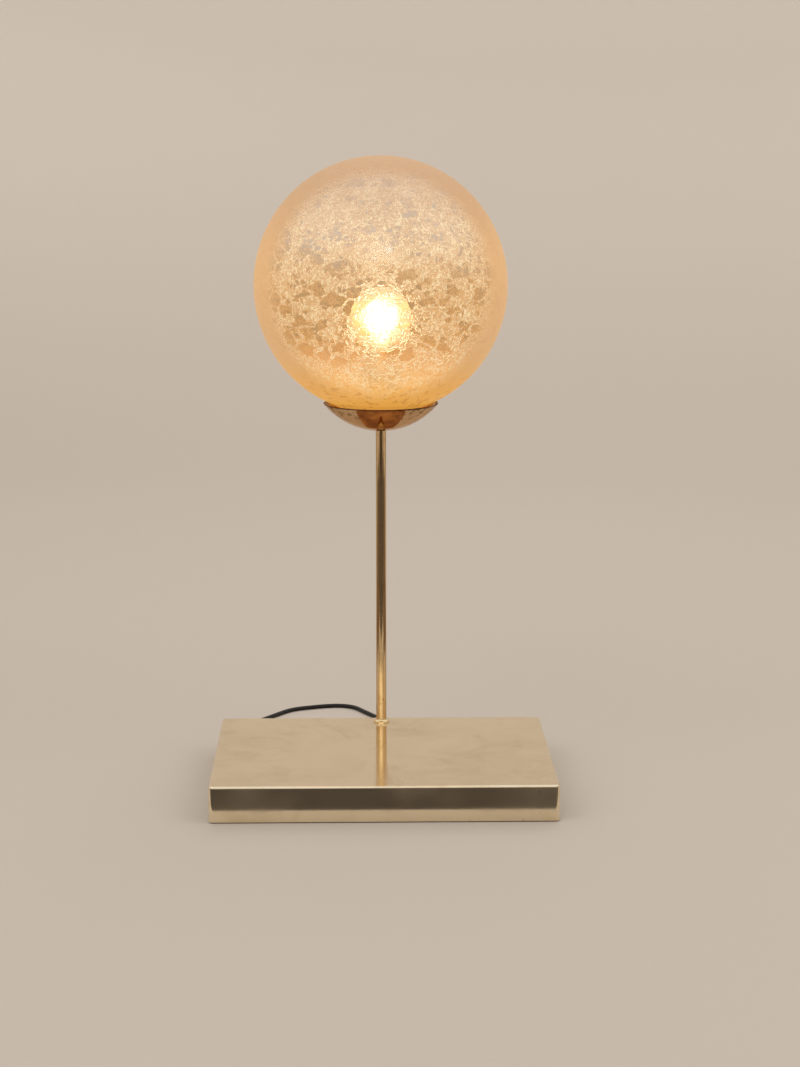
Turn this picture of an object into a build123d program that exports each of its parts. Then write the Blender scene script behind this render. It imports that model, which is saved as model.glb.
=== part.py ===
from build123d import *
import os
from math import acos, atan2, cos, degrees, hypot, pi, radians, sin, sqrt, tan

# Brass table lamp: a flat box base, a thin stem near its back edge, a bowl and a blown glass globe.
# Millimetres, +Z up, the origin at the middle of the underside on the table, the front towards -Y.

os.makedirs("parts", exist_ok=True)

# Base cover, folded from polished brass sheet
base_width = 325.0
base_depth = 245.0
base_height = 35.0
base_wall = 1.2
base_corner_radius = 4.0
base_edge_radius = 2.0
rim_lift = 1.0

# Floor of the base: felt, plate, posts and ballast
felt_thickness = 2.0
felt_inset = 6.0
floor_thickness = 2.0
floor_gap = 0.3
post_diameter = 10.0
post_inset = 14.0
ballast_thickness = 10.0
ballast_side_margin = 27.5
ballast_front_margin = 22.5
ballast_stem_gap = 46.5
ballast_screw_inset = 35.0
ballast_chamfer = 1.5

# Countersunk screws, and the play between threaded pieces
screw_diameter = 4.0
screw_head_diameter = 7.0
screw_reach = 7.0
screw_bore_spare = 1.5
thread_gap = 0.05

# Stem
stem_diameter = 10.0
stem_wall = 1.0
stem_height = 299.5
stem_from_back = 16.0
collar_diameter = 16.4
collar_neck_diameter = 11.4
collar_flange = 1.4
nipple_wall = 1.0
nipple_engagement = 14.0
nipple_tail = 2.8
washer_thickness = 1.8
foot_washer_diameter = 24.0
cup_washer_diameter = 13.0
nut_across_flats = 13.0
nut_thickness = 4.5

# Bowl under the globe
cup_rim_radius = 57.4
cup_depth = 27.5
cup_wall = 1.0
cup_flat_radius = 7.0
cup_rim_round = 0.35

# Globe of blown glass, and the soft ring that its neck stands on
globe_width = 250.0
globe_height = 253.0
globe_wall = 3.0
globe_neck_radius = 40.0
globe_neck_length = 8.15
globe_neck_fillet = 3.0
seat_thickness = 2.65
seat_overhang = 3.0
seat_lip = 2.6
seat_lip_height = 3.0
seat_play = 0.4

# Lampholder with a 27 mm screw thread
holder_cap_radius = 18.5
holder_cap_wall = 2.2
holder_boss_radius = 7.5
holder_boss_height = 7.0
holder_dome_height = 7.0
holder_skirt_height = 8.0
holder_floor = 2.0
holder_ledge = 2.3
insert_thickness = 8.0
insert_play = 0.1
sleeve_wall = 1.6
sleeve_height = 26.0
sleeve_taper = 2.0
sleeve_taper_height = 6.0
shell_wall = 0.6
shell_height = 24.0
terminal_diameter = 4.0
terminal_height = 3.0
terminal_spacing = 14.0
contact_thickness = 0.6
contact_width = 6.0
contact_rise = 2.6

# Bulb
bulb_diameter = 60.0
bulb_length = 108.0
bulb_cap_diameter = 26.2
bulb_cap_length = 20.0
bulb_cap_wall = 0.4
bulb_glass_wall = 0.8
bulb_glass_play = 0.1
bulb_neck_rise = 7.0
bulb_neck_bend = 15.0
bulb_neck_depth = 13.0
bulb_tip_radius = 4.8
bulb_tip_height = 1.4
bulb_insulator_height = 3.6
bulb_play = 0.3
bulb_stem_radius = 3.5
bulb_stem_height = 26.0
bulb_stem_flare = 8.0
lead_diameter = 0.7
lead_height = 26.0
lead_spread = 9.0
lead_foot = 1.6
filament_diameter = 0.8
filament_arch = 4.0

# Cord, its outlet in the back wall and what holds it inside
cord_diameter = 4.4
cord_play = 0.1
outlet_x = 28.0
outlet_height = 10.0
grommet_length = 28.0
grommet_neck_radius = 4.0
grommet_flange_radius = 6.0
grommet_flange = 2.2
grommet_root_radius = 4.6
grommet_tip_radius = 3.3
grommet_groove_count = 5
grommet_groove_width = 1.4
grommet_groove_depth = 0.5
clamp_from_back = 20.5
clamp_length = 10.0
clamp_foot_width = 26.0
clamp_foot_height = 3.0
clamp_cheek = 2.4
clamp_screw_spacing = 18.0
clamp_screw_diameter = 3.0
clamp_screw_head_diameter = 5.6
clamp_screw_head_height = 2.0
sheath_tail = 2.0
wire_diameter = 2.2
wire_pitch = 2.6
wire_bend = 9.0
wire_lead_in = 3.0
wire_end_bend = 4.0

# Coil of put-away cord: two layers, spiralling in below and out above
coil_x = -15.0
coil_behind = 46.5
coil_pitch = 4.9
coil_inner_radius = 17.6
coil_half_turns = 7
coil_lift = 1.2
tie_width = 8.0
tie_thickness = 0.8
tie_play = 0.4

# Switch on the cord
switch_x = -76.0
switch_length = 54.0
switch_width = 21.0
switch_height = 13.0
switch_wall = 1.6
switch_round = 1.4
switch_seam_height = 6.5
rocker_radius = 10.4
rocker_width = 9.0
rocker_tip_rise = 3.2
rocker_middle_rise = 1.6
rocker_drop = 3.5
rocker_tilt = 12.0
rocker_pivot_drop = 2.8
rocker_play = 0.3
pin_diameter = 2.5
pin_play = 0.05
lug_length = 6.0
lug_thickness = 1.6
switch_boss_diameter = 5.4
switch_screw_diameter = 2.5
switch_screw_head_diameter = 4.4
switch_screw_head_height = 1.4
switch_screw_reach = 4.0
switch_screw_x = 15.5
switch_screw_y = 5.6
blade_length = 8.0
blade_width = 4.0
blade_thickness = 0.8
blade_height = 2.2
blade_offset = 8.0

# Plug with two round pins
plug_width = 35.3
plug_height = 13.7
plug_body_length = 26.0
plug_waist_width = 15.0
plug_waist_height = 10.0
plug_relief_length = 10.0
plug_relief_tip_radius = 3.2
plug_relief_root_radius = 4.2
pin_spacing = 18.6
pin_tip_diameter = 4.0
pin_tip_length = 9.0
pin_core_diameter = 2.8
pin_sleeve_diameter = 3.8
pin_sleeve_length = 10.0

# Levels and places that follow from the sizes above
back_y = base_depth / 2
floor_top = felt_thickness + floor_thickness
cover_inside_top = base_height - base_wall
stem_y = back_y - stem_from_back
stem_radius = stem_diameter / 2
nipple_radius = stem_radius - stem_wall - thread_gap
nipple_bore = nipple_radius - nipple_wall
cup_bottom = base_height + stem_height
cup_floor = cup_bottom + cup_wall
holder_bottom = cup_floor + washer_thickness + nut_thickness
post_spacing_x = base_width - 2 * post_inset
post_spacing_y = base_depth - 2 * post_inset
ballast_width = base_width - 2 * ballast_side_margin
ballast_front = ballast_front_margin - back_y
ballast_back = stem_y - ballast_stem_gap
ballast_depth = ballast_back - ballast_front
ballast_y = (ballast_front + ballast_back) / 2
ballast_screw_spacing_x = ballast_width - 2 * ballast_screw_inset
ballast_screw_spacing_y = ballast_depth - 2 * ballast_screw_inset
screw_head_height = (screw_head_diameter - screw_diameter) / 2
screw_bore = screw_diameter / 2 + thread_gap
screw_sink = screw_head_diameter / 2 + thread_gap
tapped_depth = screw_reach + screw_bore_spare
cover_inside_width = base_width - 2 * base_wall
cover_inside_depth = base_depth - 2 * base_wall
cover_inside_corner = base_corner_radius - base_wall
clamp_y = back_y - clamp_from_back
sheath_end_y = clamp_y - clamp_length / 2 - sheath_tail
cord_radius = cord_diameter / 2
cord_bore = cord_radius + cord_play

stem_plane = Plane(origin=(0, stem_y, 0), x_dir=(1, 0, 0), z_dir=(0, -1, 0))
stem_axis = Axis((0, stem_y, 0), (0, 0, 1))
standing = (Align.CENTER, Align.CENTER, Align.MIN)
hanging = (Align.CENTER, Align.CENTER, Align.MAX)


# The bowl is part of a sphere round a centre on the stem's axis, above its flat bottom.
bowl_rise = (cup_rim_radius**2 + cup_depth**2 - cup_flat_radius**2) / (2 * cup_depth)
bowl_radius = hypot(bowl_rise, cup_flat_radius)
bowl_inner_radius = bowl_radius - cup_wall


def on_bowl(radius, r):
    return (r, cup_bottom + bowl_rise - sqrt(radius**2 - r**2))


# The globe's neck stands on the seat, and the globe's centre follows from the neck.
seat_top = on_bowl(bowl_inner_radius, globe_neck_radius)[1] + seat_thickness
globe_half_width = globe_width / 2
globe_half_height = globe_height / 2
globe_neck_share = sqrt(1 - (globe_neck_radius / globe_half_width) ** 2)
globe_centre = seat_top + globe_neck_length + globe_half_height * globe_neck_share


def corner_radii(points):
    corners = [Vector(*p) for p in points]
    radii = []
    for before, corner, after in zip(corners, corners[1:], corners[2:]):
        arriving = corner - before
        leaving = after - corner
        half_turn = radians(arriving.get_angle(leaving)) / 2
        radii.append(0.45 * min(arriving.length, leaving.length) / tan(half_turn))
    return radii


def tell_tube(name, tube, length, radii):
    share = tube.part.volume / (pi * cord_radius**2 * length)
    print(name, "length", round(length, 1), "volume share", round(share, 4))
    print(name, "radii", [round(radius, 1) for radius in radii])


# Base cover: one pressed box, with the stem's hole and the cord's outlet
with BuildPart() as base_cover:
    with BuildSketch(Plane.XY.offset(rim_lift)):
        RectangleRounded(base_width, base_depth, base_corner_radius)
    extrude(amount=base_height - rim_lift)
    fillet(base_cover.faces().sort_by(Axis.Z)[-1].edges(), base_edge_radius)
    with BuildSketch(Plane.XY.offset(rim_lift)):
        RectangleRounded(cover_inside_width, cover_inside_depth, cover_inside_corner)
    extrude(amount=cover_inside_top - rim_lift, mode=Mode.SUBTRACT)
    with Locations((0, stem_y, base_height)):
        Hole(nipple_radius + thread_gap)
    with Locations(Location((outlet_x, back_y, outlet_height), (90, 0, 0))):
        Cylinder(grommet_neck_radius + cord_play, 4 * base_wall, mode=Mode.SUBTRACT)
base_cover.part.label = "base_cover"
export_step(base_cover.part, "parts/base_cover.step")

with BuildPart() as cover_posts:
    with Locations((0, 0, floor_top)):
        with GridLocations(post_spacing_x, post_spacing_y, 2, 2):
            Cylinder(post_diameter / 2, cover_inside_top - floor_top, align=standing)
            Cylinder(screw_bore, tapped_depth, align=standing, mode=Mode.SUBTRACT)
cover_posts.part.label = "cover_posts"
export_step(cover_posts.part, "parts/cover_posts.step")

with BuildPart() as base_felt:
    with BuildSketch():
        RectangleRounded(base_width - 2 * felt_inset, base_depth - 2 * felt_inset, base_corner_radius)
    extrude(amount=felt_thickness)
base_felt.part.label = "base_felt"
export_step(base_felt.part, "parts/base_felt.step")

# Bottom plate: drops into the cover, countersunk from below for the posts and the ballast
floor_width = cover_inside_width - 2 * floor_gap
floor_depth = cover_inside_depth - 2 * floor_gap
with BuildPart() as bottom_plate:
    with BuildSketch(Plane.XY.offset(felt_thickness)):
        RectangleRounded(floor_width, floor_depth, cover_inside_corner)
    extrude(amount=floor_thickness)
    with Locations(Plane(origin=(0, 0, felt_thickness), z_dir=(0, 0, -1))):
        with GridLocations(post_spacing_x, post_spacing_y, 2, 2):
            CounterSinkHole(screw_bore, screw_sink, counter_sink_angle=90)
    with Locations(Plane(origin=(0, ballast_y, felt_thickness), z_dir=(0, 0, -1))):
        with GridLocations(ballast_screw_spacing_x, ballast_screw_spacing_y, 2, 2):
            CounterSinkHole(screw_bore, screw_sink, counter_sink_angle=90)
    with Locations((outlet_x, clamp_y, floor_top)):
        with GridLocations(clamp_screw_spacing, 0, 2, 1):
            Hole(clamp_screw_diameter / 2 + thread_gap)
bottom_plate.part.label = "bottom_plate"
export_step(bottom_plate.part, "parts/bottom_plate.step")

with BuildPart() as ballast_plate:
    with Locations((0, ballast_y, floor_top)):
        Box(ballast_width, ballast_depth, ballast_thickness, align=standing)
    chamfer(ballast_plate.faces().sort_by(Axis.Z)[-1].edges(), ballast_chamfer)
    with Locations((0, ballast_y, floor_top)):
        with GridLocations(ballast_screw_spacing_x, ballast_screw_spacing_y, 2, 2):
            Cylinder(screw_bore, tapped_depth, align=standing, mode=Mode.SUBTRACT)
ballast_plate.part.label = "ballast_plate"
export_step(ballast_plate.part, "parts/ballast_plate.step")


def countersunk_screw():
    Cone(screw_head_diameter / 2, screw_diameter / 2, screw_head_height, align=standing)
    Cylinder(screw_diameter / 2, floor_thickness + screw_reach, align=standing)


with BuildPart() as bottom_screws:
    with Locations((0, 0, felt_thickness)):
        with GridLocations(post_spacing_x, post_spacing_y, 2, 2):
            countersunk_screw()
bottom_screws.part.label = "bottom_screws"
export_step(bottom_screws.part, "parts/bottom_screws.step")

with BuildPart() as ballast_screws:
    with Locations((0, ballast_y, felt_thickness)):
        with GridLocations(ballast_screw_spacing_x, ballast_screw_spacing_y, 2, 2):
            countersunk_screw()
ballast_screws.part.label = "ballast_screws"
export_step(ballast_screws.part, "parts/ballast_screws.step")

# Cord grommet: a flange on each side of the wall and a grooved tail that tapers towards its tip
outlet_plane = Plane(origin=(outlet_x, back_y, outlet_height), x_dir=(0, 1, 0), z_dir=(1, 0, 0))
outlet_axis = Axis((outlet_x, back_y, outlet_height), (0, 1, 0))
groove_step = (grommet_length - grommet_flange) / (grommet_groove_count + 1)
with BuildPart() as cord_grommet:
    with BuildSketch(outlet_plane):
        with BuildLine():
            Polyline(
                (-base_wall - grommet_flange, cord_bore),
                (-base_wall - grommet_flange, grommet_flange_radius),
                (-base_wall, grommet_flange_radius),
                (-base_wall, grommet_neck_radius),
                (0, grommet_neck_radius),
                (0, grommet_flange_radius),
                (grommet_flange, grommet_flange_radius),
                (grommet_flange, grommet_root_radius),
                (grommet_length, grommet_tip_radius),
                (grommet_length, cord_bore),
                close=True,
            )
        make_face()
        for groove in range(grommet_groove_count):
            along = (groove + 1) / (grommet_groove_count + 1)
            taper = grommet_root_radius + along * (grommet_tip_radius - grommet_root_radius)
            with Locations((grommet_flange + groove_step * (groove + 1), taper)):
                Rectangle(grommet_groove_width, 2 * grommet_groove_depth, mode=Mode.SUBTRACT)
    revolve(axis=outlet_axis)
cord_grommet.part.label = "cord_grommet"
export_step(cord_grommet.part, "parts/cord_grommet.step")

# The sheathed cord runs straight in through the grommet and under the clamp.
with BuildPart() as cord_inner:
    with BuildSketch(Plane(origin=(outlet_x, back_y + grommet_length, outlet_height), z_dir=(0, -1, 0))):
        Circle(cord_radius)
    extrude(amount=back_y + grommet_length - sheath_end_y)
cord_inner.part.label = "cord_inner"
export_step(cord_inner.part, "parts/cord_inner.step")

clamp_back_y = clamp_y + clamp_length / 2
clamp_plane = Plane(origin=(outlet_x, clamp_back_y, floor_top), x_dir=(1, 0, 0), z_dir=(0, -1, 0))
cord_above_floor = outlet_height - floor_top
clamp_arch = cord_bore + clamp_cheek
with BuildPart() as cord_clamp:
    with BuildSketch(clamp_plane):
        with Locations((0, clamp_foot_height / 2)):
            Rectangle(clamp_foot_width, clamp_foot_height)
        with Locations((0, cord_above_floor / 2)):
            Rectangle(2 * clamp_arch, cord_above_floor)
        with Locations((0, cord_above_floor)):
            Circle(clamp_arch)
            Circle(cord_bore, mode=Mode.SUBTRACT)
    extrude(amount=clamp_length)
    with Locations((outlet_x, clamp_y, floor_top + clamp_foot_height)):
        with GridLocations(clamp_screw_spacing, 0, 2, 1):
            Hole(clamp_screw_diameter / 2 + thread_gap)
cord_clamp.part.label = "cord_clamp"
export_step(cord_clamp.part, "parts/cord_clamp.step")

with BuildPart() as clamp_screws:
    with Locations((outlet_x, clamp_y, floor_top + clamp_foot_height)):
        with GridLocations(clamp_screw_spacing, 0, 2, 1):
            Cylinder(clamp_screw_head_diameter / 2, clamp_screw_head_height, align=standing)
            Cylinder(clamp_screw_diameter / 2, clamp_foot_height + floor_thickness, align=hanging)
clamp_screws.part.label = "clamp_screws"
export_step(clamp_screws.part, "parts/clamp_screws.step")

# Stem: tube, flared collar, and a threaded nipple with washer and nut at each end
with BuildPart() as stem_tube:
    with BuildSketch(Plane.XY.offset(base_height)):
        with Locations((0, stem_y)):
            Circle(stem_radius)
            Circle(stem_radius - stem_wall, mode=Mode.SUBTRACT)
    extrude(amount=stem_height)
stem_tube.part.label = "stem_tube"
export_step(stem_tube.part, "parts/stem_tube.step")

collar_radius = collar_diameter / 2
collar_flare = (collar_diameter - collar_neck_diameter) / 2
collar_top = base_height + collar_flange + collar_flare
with BuildPart() as stem_collar:
    with BuildSketch(stem_plane):
        with BuildLine():
            Polyline(
                (collar_radius - collar_flare, collar_top),
                (stem_radius + thread_gap, collar_top),
                (stem_radius + thread_gap, base_height),
                (collar_radius, base_height),
                (collar_radius, base_height + collar_flange),
            )
            ThreePointArc(
                (collar_radius, base_height + collar_flange),
                (collar_radius - collar_flare * sqrt(0.5), collar_top - collar_flare * sqrt(0.5)),
                (collar_radius - collar_flare, collar_top),
            )
        make_face()
    revolve(axis=stem_axis)
stem_collar.part.label = "stem_collar"
export_step(stem_collar.part, "parts/stem_collar.step")

foot_washer_bottom = cover_inside_top - washer_thickness
foot_nut_bottom = foot_washer_bottom - nut_thickness
foot_nipple_bottom = foot_nut_bottom - nipple_tail
with BuildPart() as foot_nipple:
    with BuildSketch(Plane.XY.offset(foot_nipple_bottom)):
        with Locations((0, stem_y)):
            Circle(nipple_radius)
            Circle(nipple_bore, mode=Mode.SUBTRACT)
    extrude(amount=base_height + nipple_engagement - foot_nipple_bottom)
foot_nipple.part.label = "foot_nipple"
export_step(foot_nipple.part, "parts/foot_nipple.step")

with BuildPart() as foot_washer:
    with BuildSketch(Plane.XY.offset(foot_washer_bottom)):
        with Locations((0, stem_y)):
            Circle(foot_washer_diameter / 2)
            Circle(nipple_radius + thread_gap, mode=Mode.SUBTRACT)
    extrude(amount=washer_thickness)
foot_washer.part.label = "foot_washer"
export_step(foot_washer.part, "parts/foot_washer.step")

with BuildPart() as foot_nut:
    with BuildSketch(Plane.XY.offset(foot_nut_bottom)):
        with Locations((0, stem_y)):
            RegularPolygon(nut_across_flats / 2, 6, major_radius=False)
            Circle(nipple_radius + thread_gap, mode=Mode.SUBTRACT)
    extrude(amount=nut_thickness)
foot_nut.part.label = "foot_nut"
export_step(foot_nut.part, "parts/foot_nut.step")

cup_nipple_top = holder_bottom + holder_boss_height
with BuildPart() as cup_nipple:
    with BuildSketch(Plane.XY.offset(cup_bottom - nipple_engagement)):
        with Locations((0, stem_y)):
            Circle(nipple_radius)
            Circle(nipple_bore, mode=Mode.SUBTRACT)
    extrude(amount=cup_nipple_top - cup_bottom + nipple_engagement)
cup_nipple.part.label = "cup_nipple"
export_step(cup_nipple.part, "parts/cup_nipple.step")

with BuildPart() as cup_washer:
    with BuildSketch(Plane.XY.offset(cup_floor)):
        with Locations((0, stem_y)):
            Circle(cup_washer_diameter / 2)
            Circle(nipple_radius + thread_gap, mode=Mode.SUBTRACT)
    extrude(amount=washer_thickness)
cup_washer.part.label = "cup_washer"
export_step(cup_washer.part, "parts/cup_washer.step")

with BuildPart() as cup_nut:
    with BuildSketch(Plane.XY.offset(cup_floor + washer_thickness)):
        with Locations((0, stem_y)):
            RegularPolygon(nut_across_flats / 2, 6, major_radius=False)
            Circle(nipple_radius + thread_gap, mode=Mode.SUBTRACT)
    extrude(amount=nut_thickness)
cup_nut.part.label = "cup_nut"
export_step(cup_nut.part, "parts/cup_nut.step")

# Bowl: spun brass, a slice of a sphere with a flat bottom and a rounded rim
cup_rim_z = cup_bottom + cup_depth
cup_inner_flat = sqrt(bowl_inner_radius**2 - (bowl_rise - cup_wall) ** 2)
cup_inner_rim = sqrt(bowl_inner_radius**2 - (bowl_rise - cup_depth) ** 2)
with BuildPart() as cup:
    with BuildSketch(stem_plane) as cup_profile:
        with BuildLine():
            Polyline(
                on_bowl(bowl_inner_radius, cup_inner_flat),
                (nipple_radius + thread_gap, cup_floor),
                (nipple_radius + thread_gap, cup_bottom),
                on_bowl(bowl_radius, cup_flat_radius),
            )
            ThreePointArc(
                on_bowl(bowl_radius, cup_flat_radius),
                on_bowl(bowl_radius, (cup_flat_radius + cup_rim_radius) / 2),
                on_bowl(bowl_radius, cup_rim_radius),
            )
            Line(on_bowl(bowl_radius, cup_rim_radius), on_bowl(bowl_inner_radius, cup_inner_rim))
            ThreePointArc(
                on_bowl(bowl_inner_radius, cup_inner_rim),
                on_bowl(bowl_inner_radius, (cup_inner_flat + cup_inner_rim) / 2),
                on_bowl(bowl_inner_radius, cup_inner_flat),
            )
        make_face()
        fillet(cup_profile.vertices().group_by(Axis.Z)[-1], min(cup_rim_round, 0.4 * cup_wall))
    revolve(axis=stem_axis)
cup.part.label = "cup"
export_step(cup.part, "parts/cup.step")

# Seat: a soft ring lying in the bowl, with a lip that centres the globe's neck
seat_lip_radius = globe_neck_radius + seat_play
seat_outer_radius = seat_lip_radius + seat_lip
seat_inner_radius = globe_neck_radius - globe_wall - seat_overhang
with BuildPart() as globe_seat:
    with BuildSketch(stem_plane):
        with BuildLine():
            ThreePointArc(
                on_bowl(bowl_inner_radius, seat_inner_radius),
                on_bowl(bowl_inner_radius, globe_neck_radius),
                on_bowl(bowl_inner_radius, seat_outer_radius),
            )
            Polyline(
                on_bowl(bowl_inner_radius, seat_outer_radius),
                (seat_outer_radius, seat_top + seat_lip_height),
                (seat_lip_radius, seat_top + seat_lip_height),
                (seat_lip_radius, seat_top),
                (seat_inner_radius, seat_top),
                on_bowl(bowl_inner_radius, seat_inner_radius),
            )
        make_face()
    revolve(axis=stem_axis)
globe_seat.part.label = "globe_seat"
export_step(globe_seat.part, "parts/globe_seat.step")

# Globe: blown a little taller than wide, with a short straight neck
neck_bore = globe_neck_radius - globe_wall
neck_join = globe_centre - globe_half_height * globe_neck_share
inner_half_width = globe_half_width - globe_wall
inner_half_height = globe_half_height - globe_wall
outer_start = -degrees(acos(globe_neck_radius / globe_half_width))
inner_start = -degrees(acos(neck_bore / inner_half_width))
with BuildPart() as globe:
    with BuildSketch(stem_plane):
        with BuildLine():
            outer_wall = EllipticalCenterArc(
                (0, globe_centre), globe_half_width, globe_half_height, outer_start, arc_size=90 - outer_start
            )
            inner_wall = EllipticalCenterArc(
                (0, globe_centre), inner_half_width, inner_half_height, inner_start, arc_size=90 - inner_start
            )
            Line(outer_wall @ 1, inner_wall @ 1)
            Polyline(
                inner_wall @ 0,
                (neck_bore, seat_top),
                (globe_neck_radius, seat_top),
                outer_wall @ 0,
            )
        make_face()
    revolve(axis=stem_axis)
    neck_rings = globe.edges().filter_by(GeomType.CIRCLE)
    fillet(neck_rings.sort_by_distance((globe_neck_radius, stem_y, neck_join))[0], globe_neck_fillet)
globe.part.label = "globe"
export_step(globe.part, "parts/globe.step")

# Lampholder: a domed cap on the nipple, a ceramic insert, a screw shell and a sleeve that holds them down
cap_shoulder = holder_bottom + holder_boss_height
cap_dome_top = cap_shoulder + holder_dome_height
cap_top = cap_dome_top + holder_skirt_height
cap_inner_radius = holder_cap_radius - holder_cap_wall
insert_bottom = cap_dome_top + holder_floor
insert_top = insert_bottom + insert_thickness
insert_radius = cap_inner_radius - insert_play
with BuildPart() as holder_cap:
    with BuildSketch(stem_plane):
        with BuildLine():
            Polyline(
                (nipple_radius + thread_gap, holder_bottom),
                (holder_boss_radius, holder_bottom),
                (holder_boss_radius, cap_shoulder - holder_floor),
                (holder_cap_radius, cap_dome_top),
                (holder_cap_radius, cap_top),
                (cap_inner_radius, cap_top),
                (cap_inner_radius, insert_bottom),
                (cap_inner_radius - holder_ledge, insert_bottom),
                (cap_inner_radius - holder_ledge, cap_dome_top),
                (holder_boss_radius, cap_shoulder + holder_floor),
                (nipple_radius + thread_gap, cap_shoulder + holder_floor),
                close=True,
            )
        make_face()
    revolve(axis=stem_axis)
holder_cap.part.label = "holder_cap"
export_step(holder_cap.part, "parts/holder_cap.step")

with BuildPart() as holder_insert:
    with BuildSketch(Plane.XY.offset(insert_bottom)):
        with Locations((0, stem_y)):
            Circle(insert_radius)
            with GridLocations(terminal_spacing, 0, 2, 1):
                Circle(wire_diameter / 2 + cord_play, mode=Mode.SUBTRACT)
    extrude(amount=insert_thickness)
holder_insert.part.label = "holder_insert"
export_step(holder_insert.part, "parts/holder_insert.step")

with BuildPart() as holder_terminals:
    with Locations((0, stem_y, insert_top)):
        with GridLocations(terminal_spacing, 0, 2, 1):
            Cylinder(terminal_diameter / 2, terminal_height, align=standing)
holder_terminals.part.label = "holder_terminals"
export_step(holder_terminals.part, "parts/holder_terminals.step")

shell_inner_radius = bulb_cap_diameter / 2 + bulb_play
shell_radius = shell_inner_radius + shell_wall
with BuildPart() as holder_shell:
    with BuildSketch(Plane.XY.offset(insert_top)):
        with Locations((0, stem_y)):
            Circle(shell_radius)
            Circle(shell_inner_radius, mode=Mode.SUBTRACT)
    extrude(amount=shell_height)
holder_shell.part.label = "holder_shell"
export_step(holder_shell.part, "parts/holder_shell.step")

# The sleeve screws over the cap's skirt, and its shoulder presses on the insert's rim.
sleeve_radius = holder_cap_radius + thread_gap + sleeve_wall
sleeve_top = insert_top + sleeve_height
sleeve_bore = shell_radius + insert_play
with BuildPart() as holder_sleeve:
    with BuildSketch(stem_plane):
        with BuildLine():
            Polyline(
                (holder_cap_radius + thread_gap, cap_dome_top),
                (sleeve_radius, cap_dome_top),
                (sleeve_radius, sleeve_top - sleeve_taper_height),
                (sleeve_radius - sleeve_taper, sleeve_top),
                (sleeve_bore, sleeve_top),
                (sleeve_bore, insert_top),
                (holder_cap_radius + thread_gap, insert_top),
                close=True,
            )
        make_face()
    revolve(axis=stem_axis)
holder_sleeve.part.label = "holder_sleeve"
export_step(holder_sleeve.part, "parts/holder_sleeve.step")

# Centre contact: a strip bent up in the middle, under the bulb's tip
with BuildPart() as holder_contact:
    with BuildSketch(stem_plane):
        with Locations((0, insert_top + contact_rise / 2)):
            Rectangle(contact_width, contact_rise)
        with Locations((contact_thickness, insert_top + (contact_rise - contact_thickness) / 2)):
            Rectangle(contact_width, contact_rise - 3 * contact_thickness, mode=Mode.SUBTRACT)
    extrude(amount=contact_width / 2, both=True)
holder_contact.part.label = "holder_contact"
export_step(holder_contact.part, "parts/holder_contact.step")

# Bulb: tip, insulator, screw cap, pear-shaped glass, and the stem that carries leads and filament
bulb_tip = insert_top + contact_rise + bulb_play
bulb_insulator_bottom = bulb_tip + bulb_tip_height
bulb_cap_bottom = bulb_insulator_bottom + bulb_insulator_height
bulb_cap_top = bulb_cap_bottom + bulb_cap_length
bulb_radius = bulb_diameter / 2
bulb_top = bulb_tip + bulb_length
bulb_centre = bulb_top - bulb_radius
bulb_neck_radius = bulb_cap_diameter / 2 - bulb_cap_wall - bulb_glass_play
with BuildPart() as bulb_contact:
    with BuildSketch(stem_plane):
        with BuildLine():
            Line((0, bulb_insulator_bottom), (0, bulb_tip))
            RadiusArc(
                (0, bulb_tip),
                (bulb_tip_radius, bulb_insulator_bottom),
                -(bulb_tip_radius**2 + bulb_tip_height**2) / (2 * bulb_tip_height),
            )
            Line((bulb_tip_radius, bulb_insulator_bottom), (0, bulb_insulator_bottom))
        make_face()
    revolve(axis=stem_axis)
bulb_contact.part.label = "bulb_contact"
export_step(bulb_contact.part, "parts/bulb_contact.step")

with BuildPart() as bulb_insulator:
    with Locations((0, stem_y, bulb_insulator_bottom)):
        Cone(bulb_tip_radius, bulb_cap_diameter / 2 - bulb_cap_wall, bulb_insulator_height, align=standing)
bulb_insulator.part.label = "bulb_insulator"
export_step(bulb_insulator.part, "parts/bulb_insulator.step")

with BuildPart() as bulb_cap:
    with BuildSketch(Plane.XY.offset(bulb_cap_bottom)):
        with Locations((0, stem_y)):
            Circle(bulb_cap_diameter / 2)
            Circle(bulb_cap_diameter / 2 - bulb_cap_wall, mode=Mode.SUBTRACT)
    extrude(amount=bulb_cap_length)
    with BuildSketch(Plane.XY.offset(bulb_cap_bottom)):
        with Locations((0, stem_y)):
            Circle(bulb_cap_diameter / 2)
    extrude(amount=bulb_cap_wall)
bulb_cap.part.label = "bulb_cap"
export_step(bulb_cap.part, "parts/bulb_cap.step")


# Half outline of the bulb's glass, drawn in by a wall: a sphere, a straight flank and a straight neck
def bulb_outline(inset):
    sphere = bulb_radius - inset
    neck = bulb_neck_radius - inset
    neck_bottom = bulb_cap_top - bulb_neck_depth
    knee = bulb_cap_top + bulb_neck_rise
    drop = bulb_centre - knee
    flank = acos(sphere / hypot(neck, drop)) - atan2(drop, neck)
    touch = (sphere * cos(flank), bulb_centre + sphere * sin(flank))
    middle = (flank + pi / 2) / 2
    ThreePointArc(
        (0, bulb_centre + sphere),
        (sphere * cos(middle), bulb_centre + sphere * sin(middle)),
        touch,
    )
    FilletPolyline(touch, (neck, knee), (neck, neck_bottom), radius=bulb_neck_bend)
    Polyline((neck, neck_bottom), (0, neck_bottom), (0, bulb_centre + sphere))


with BuildPart() as bulb_glass:
    with BuildSketch(stem_plane):
        with BuildLine():
            bulb_outline(0)
        make_face()
        with BuildLine():
            bulb_outline(bulb_glass_wall)
        make_face(mode=Mode.SUBTRACT)
    revolve(axis=stem_axis)
bulb_glass.part.label = "bulb_glass"
export_step(bulb_glass.part, "parts/bulb_glass.step")

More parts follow.
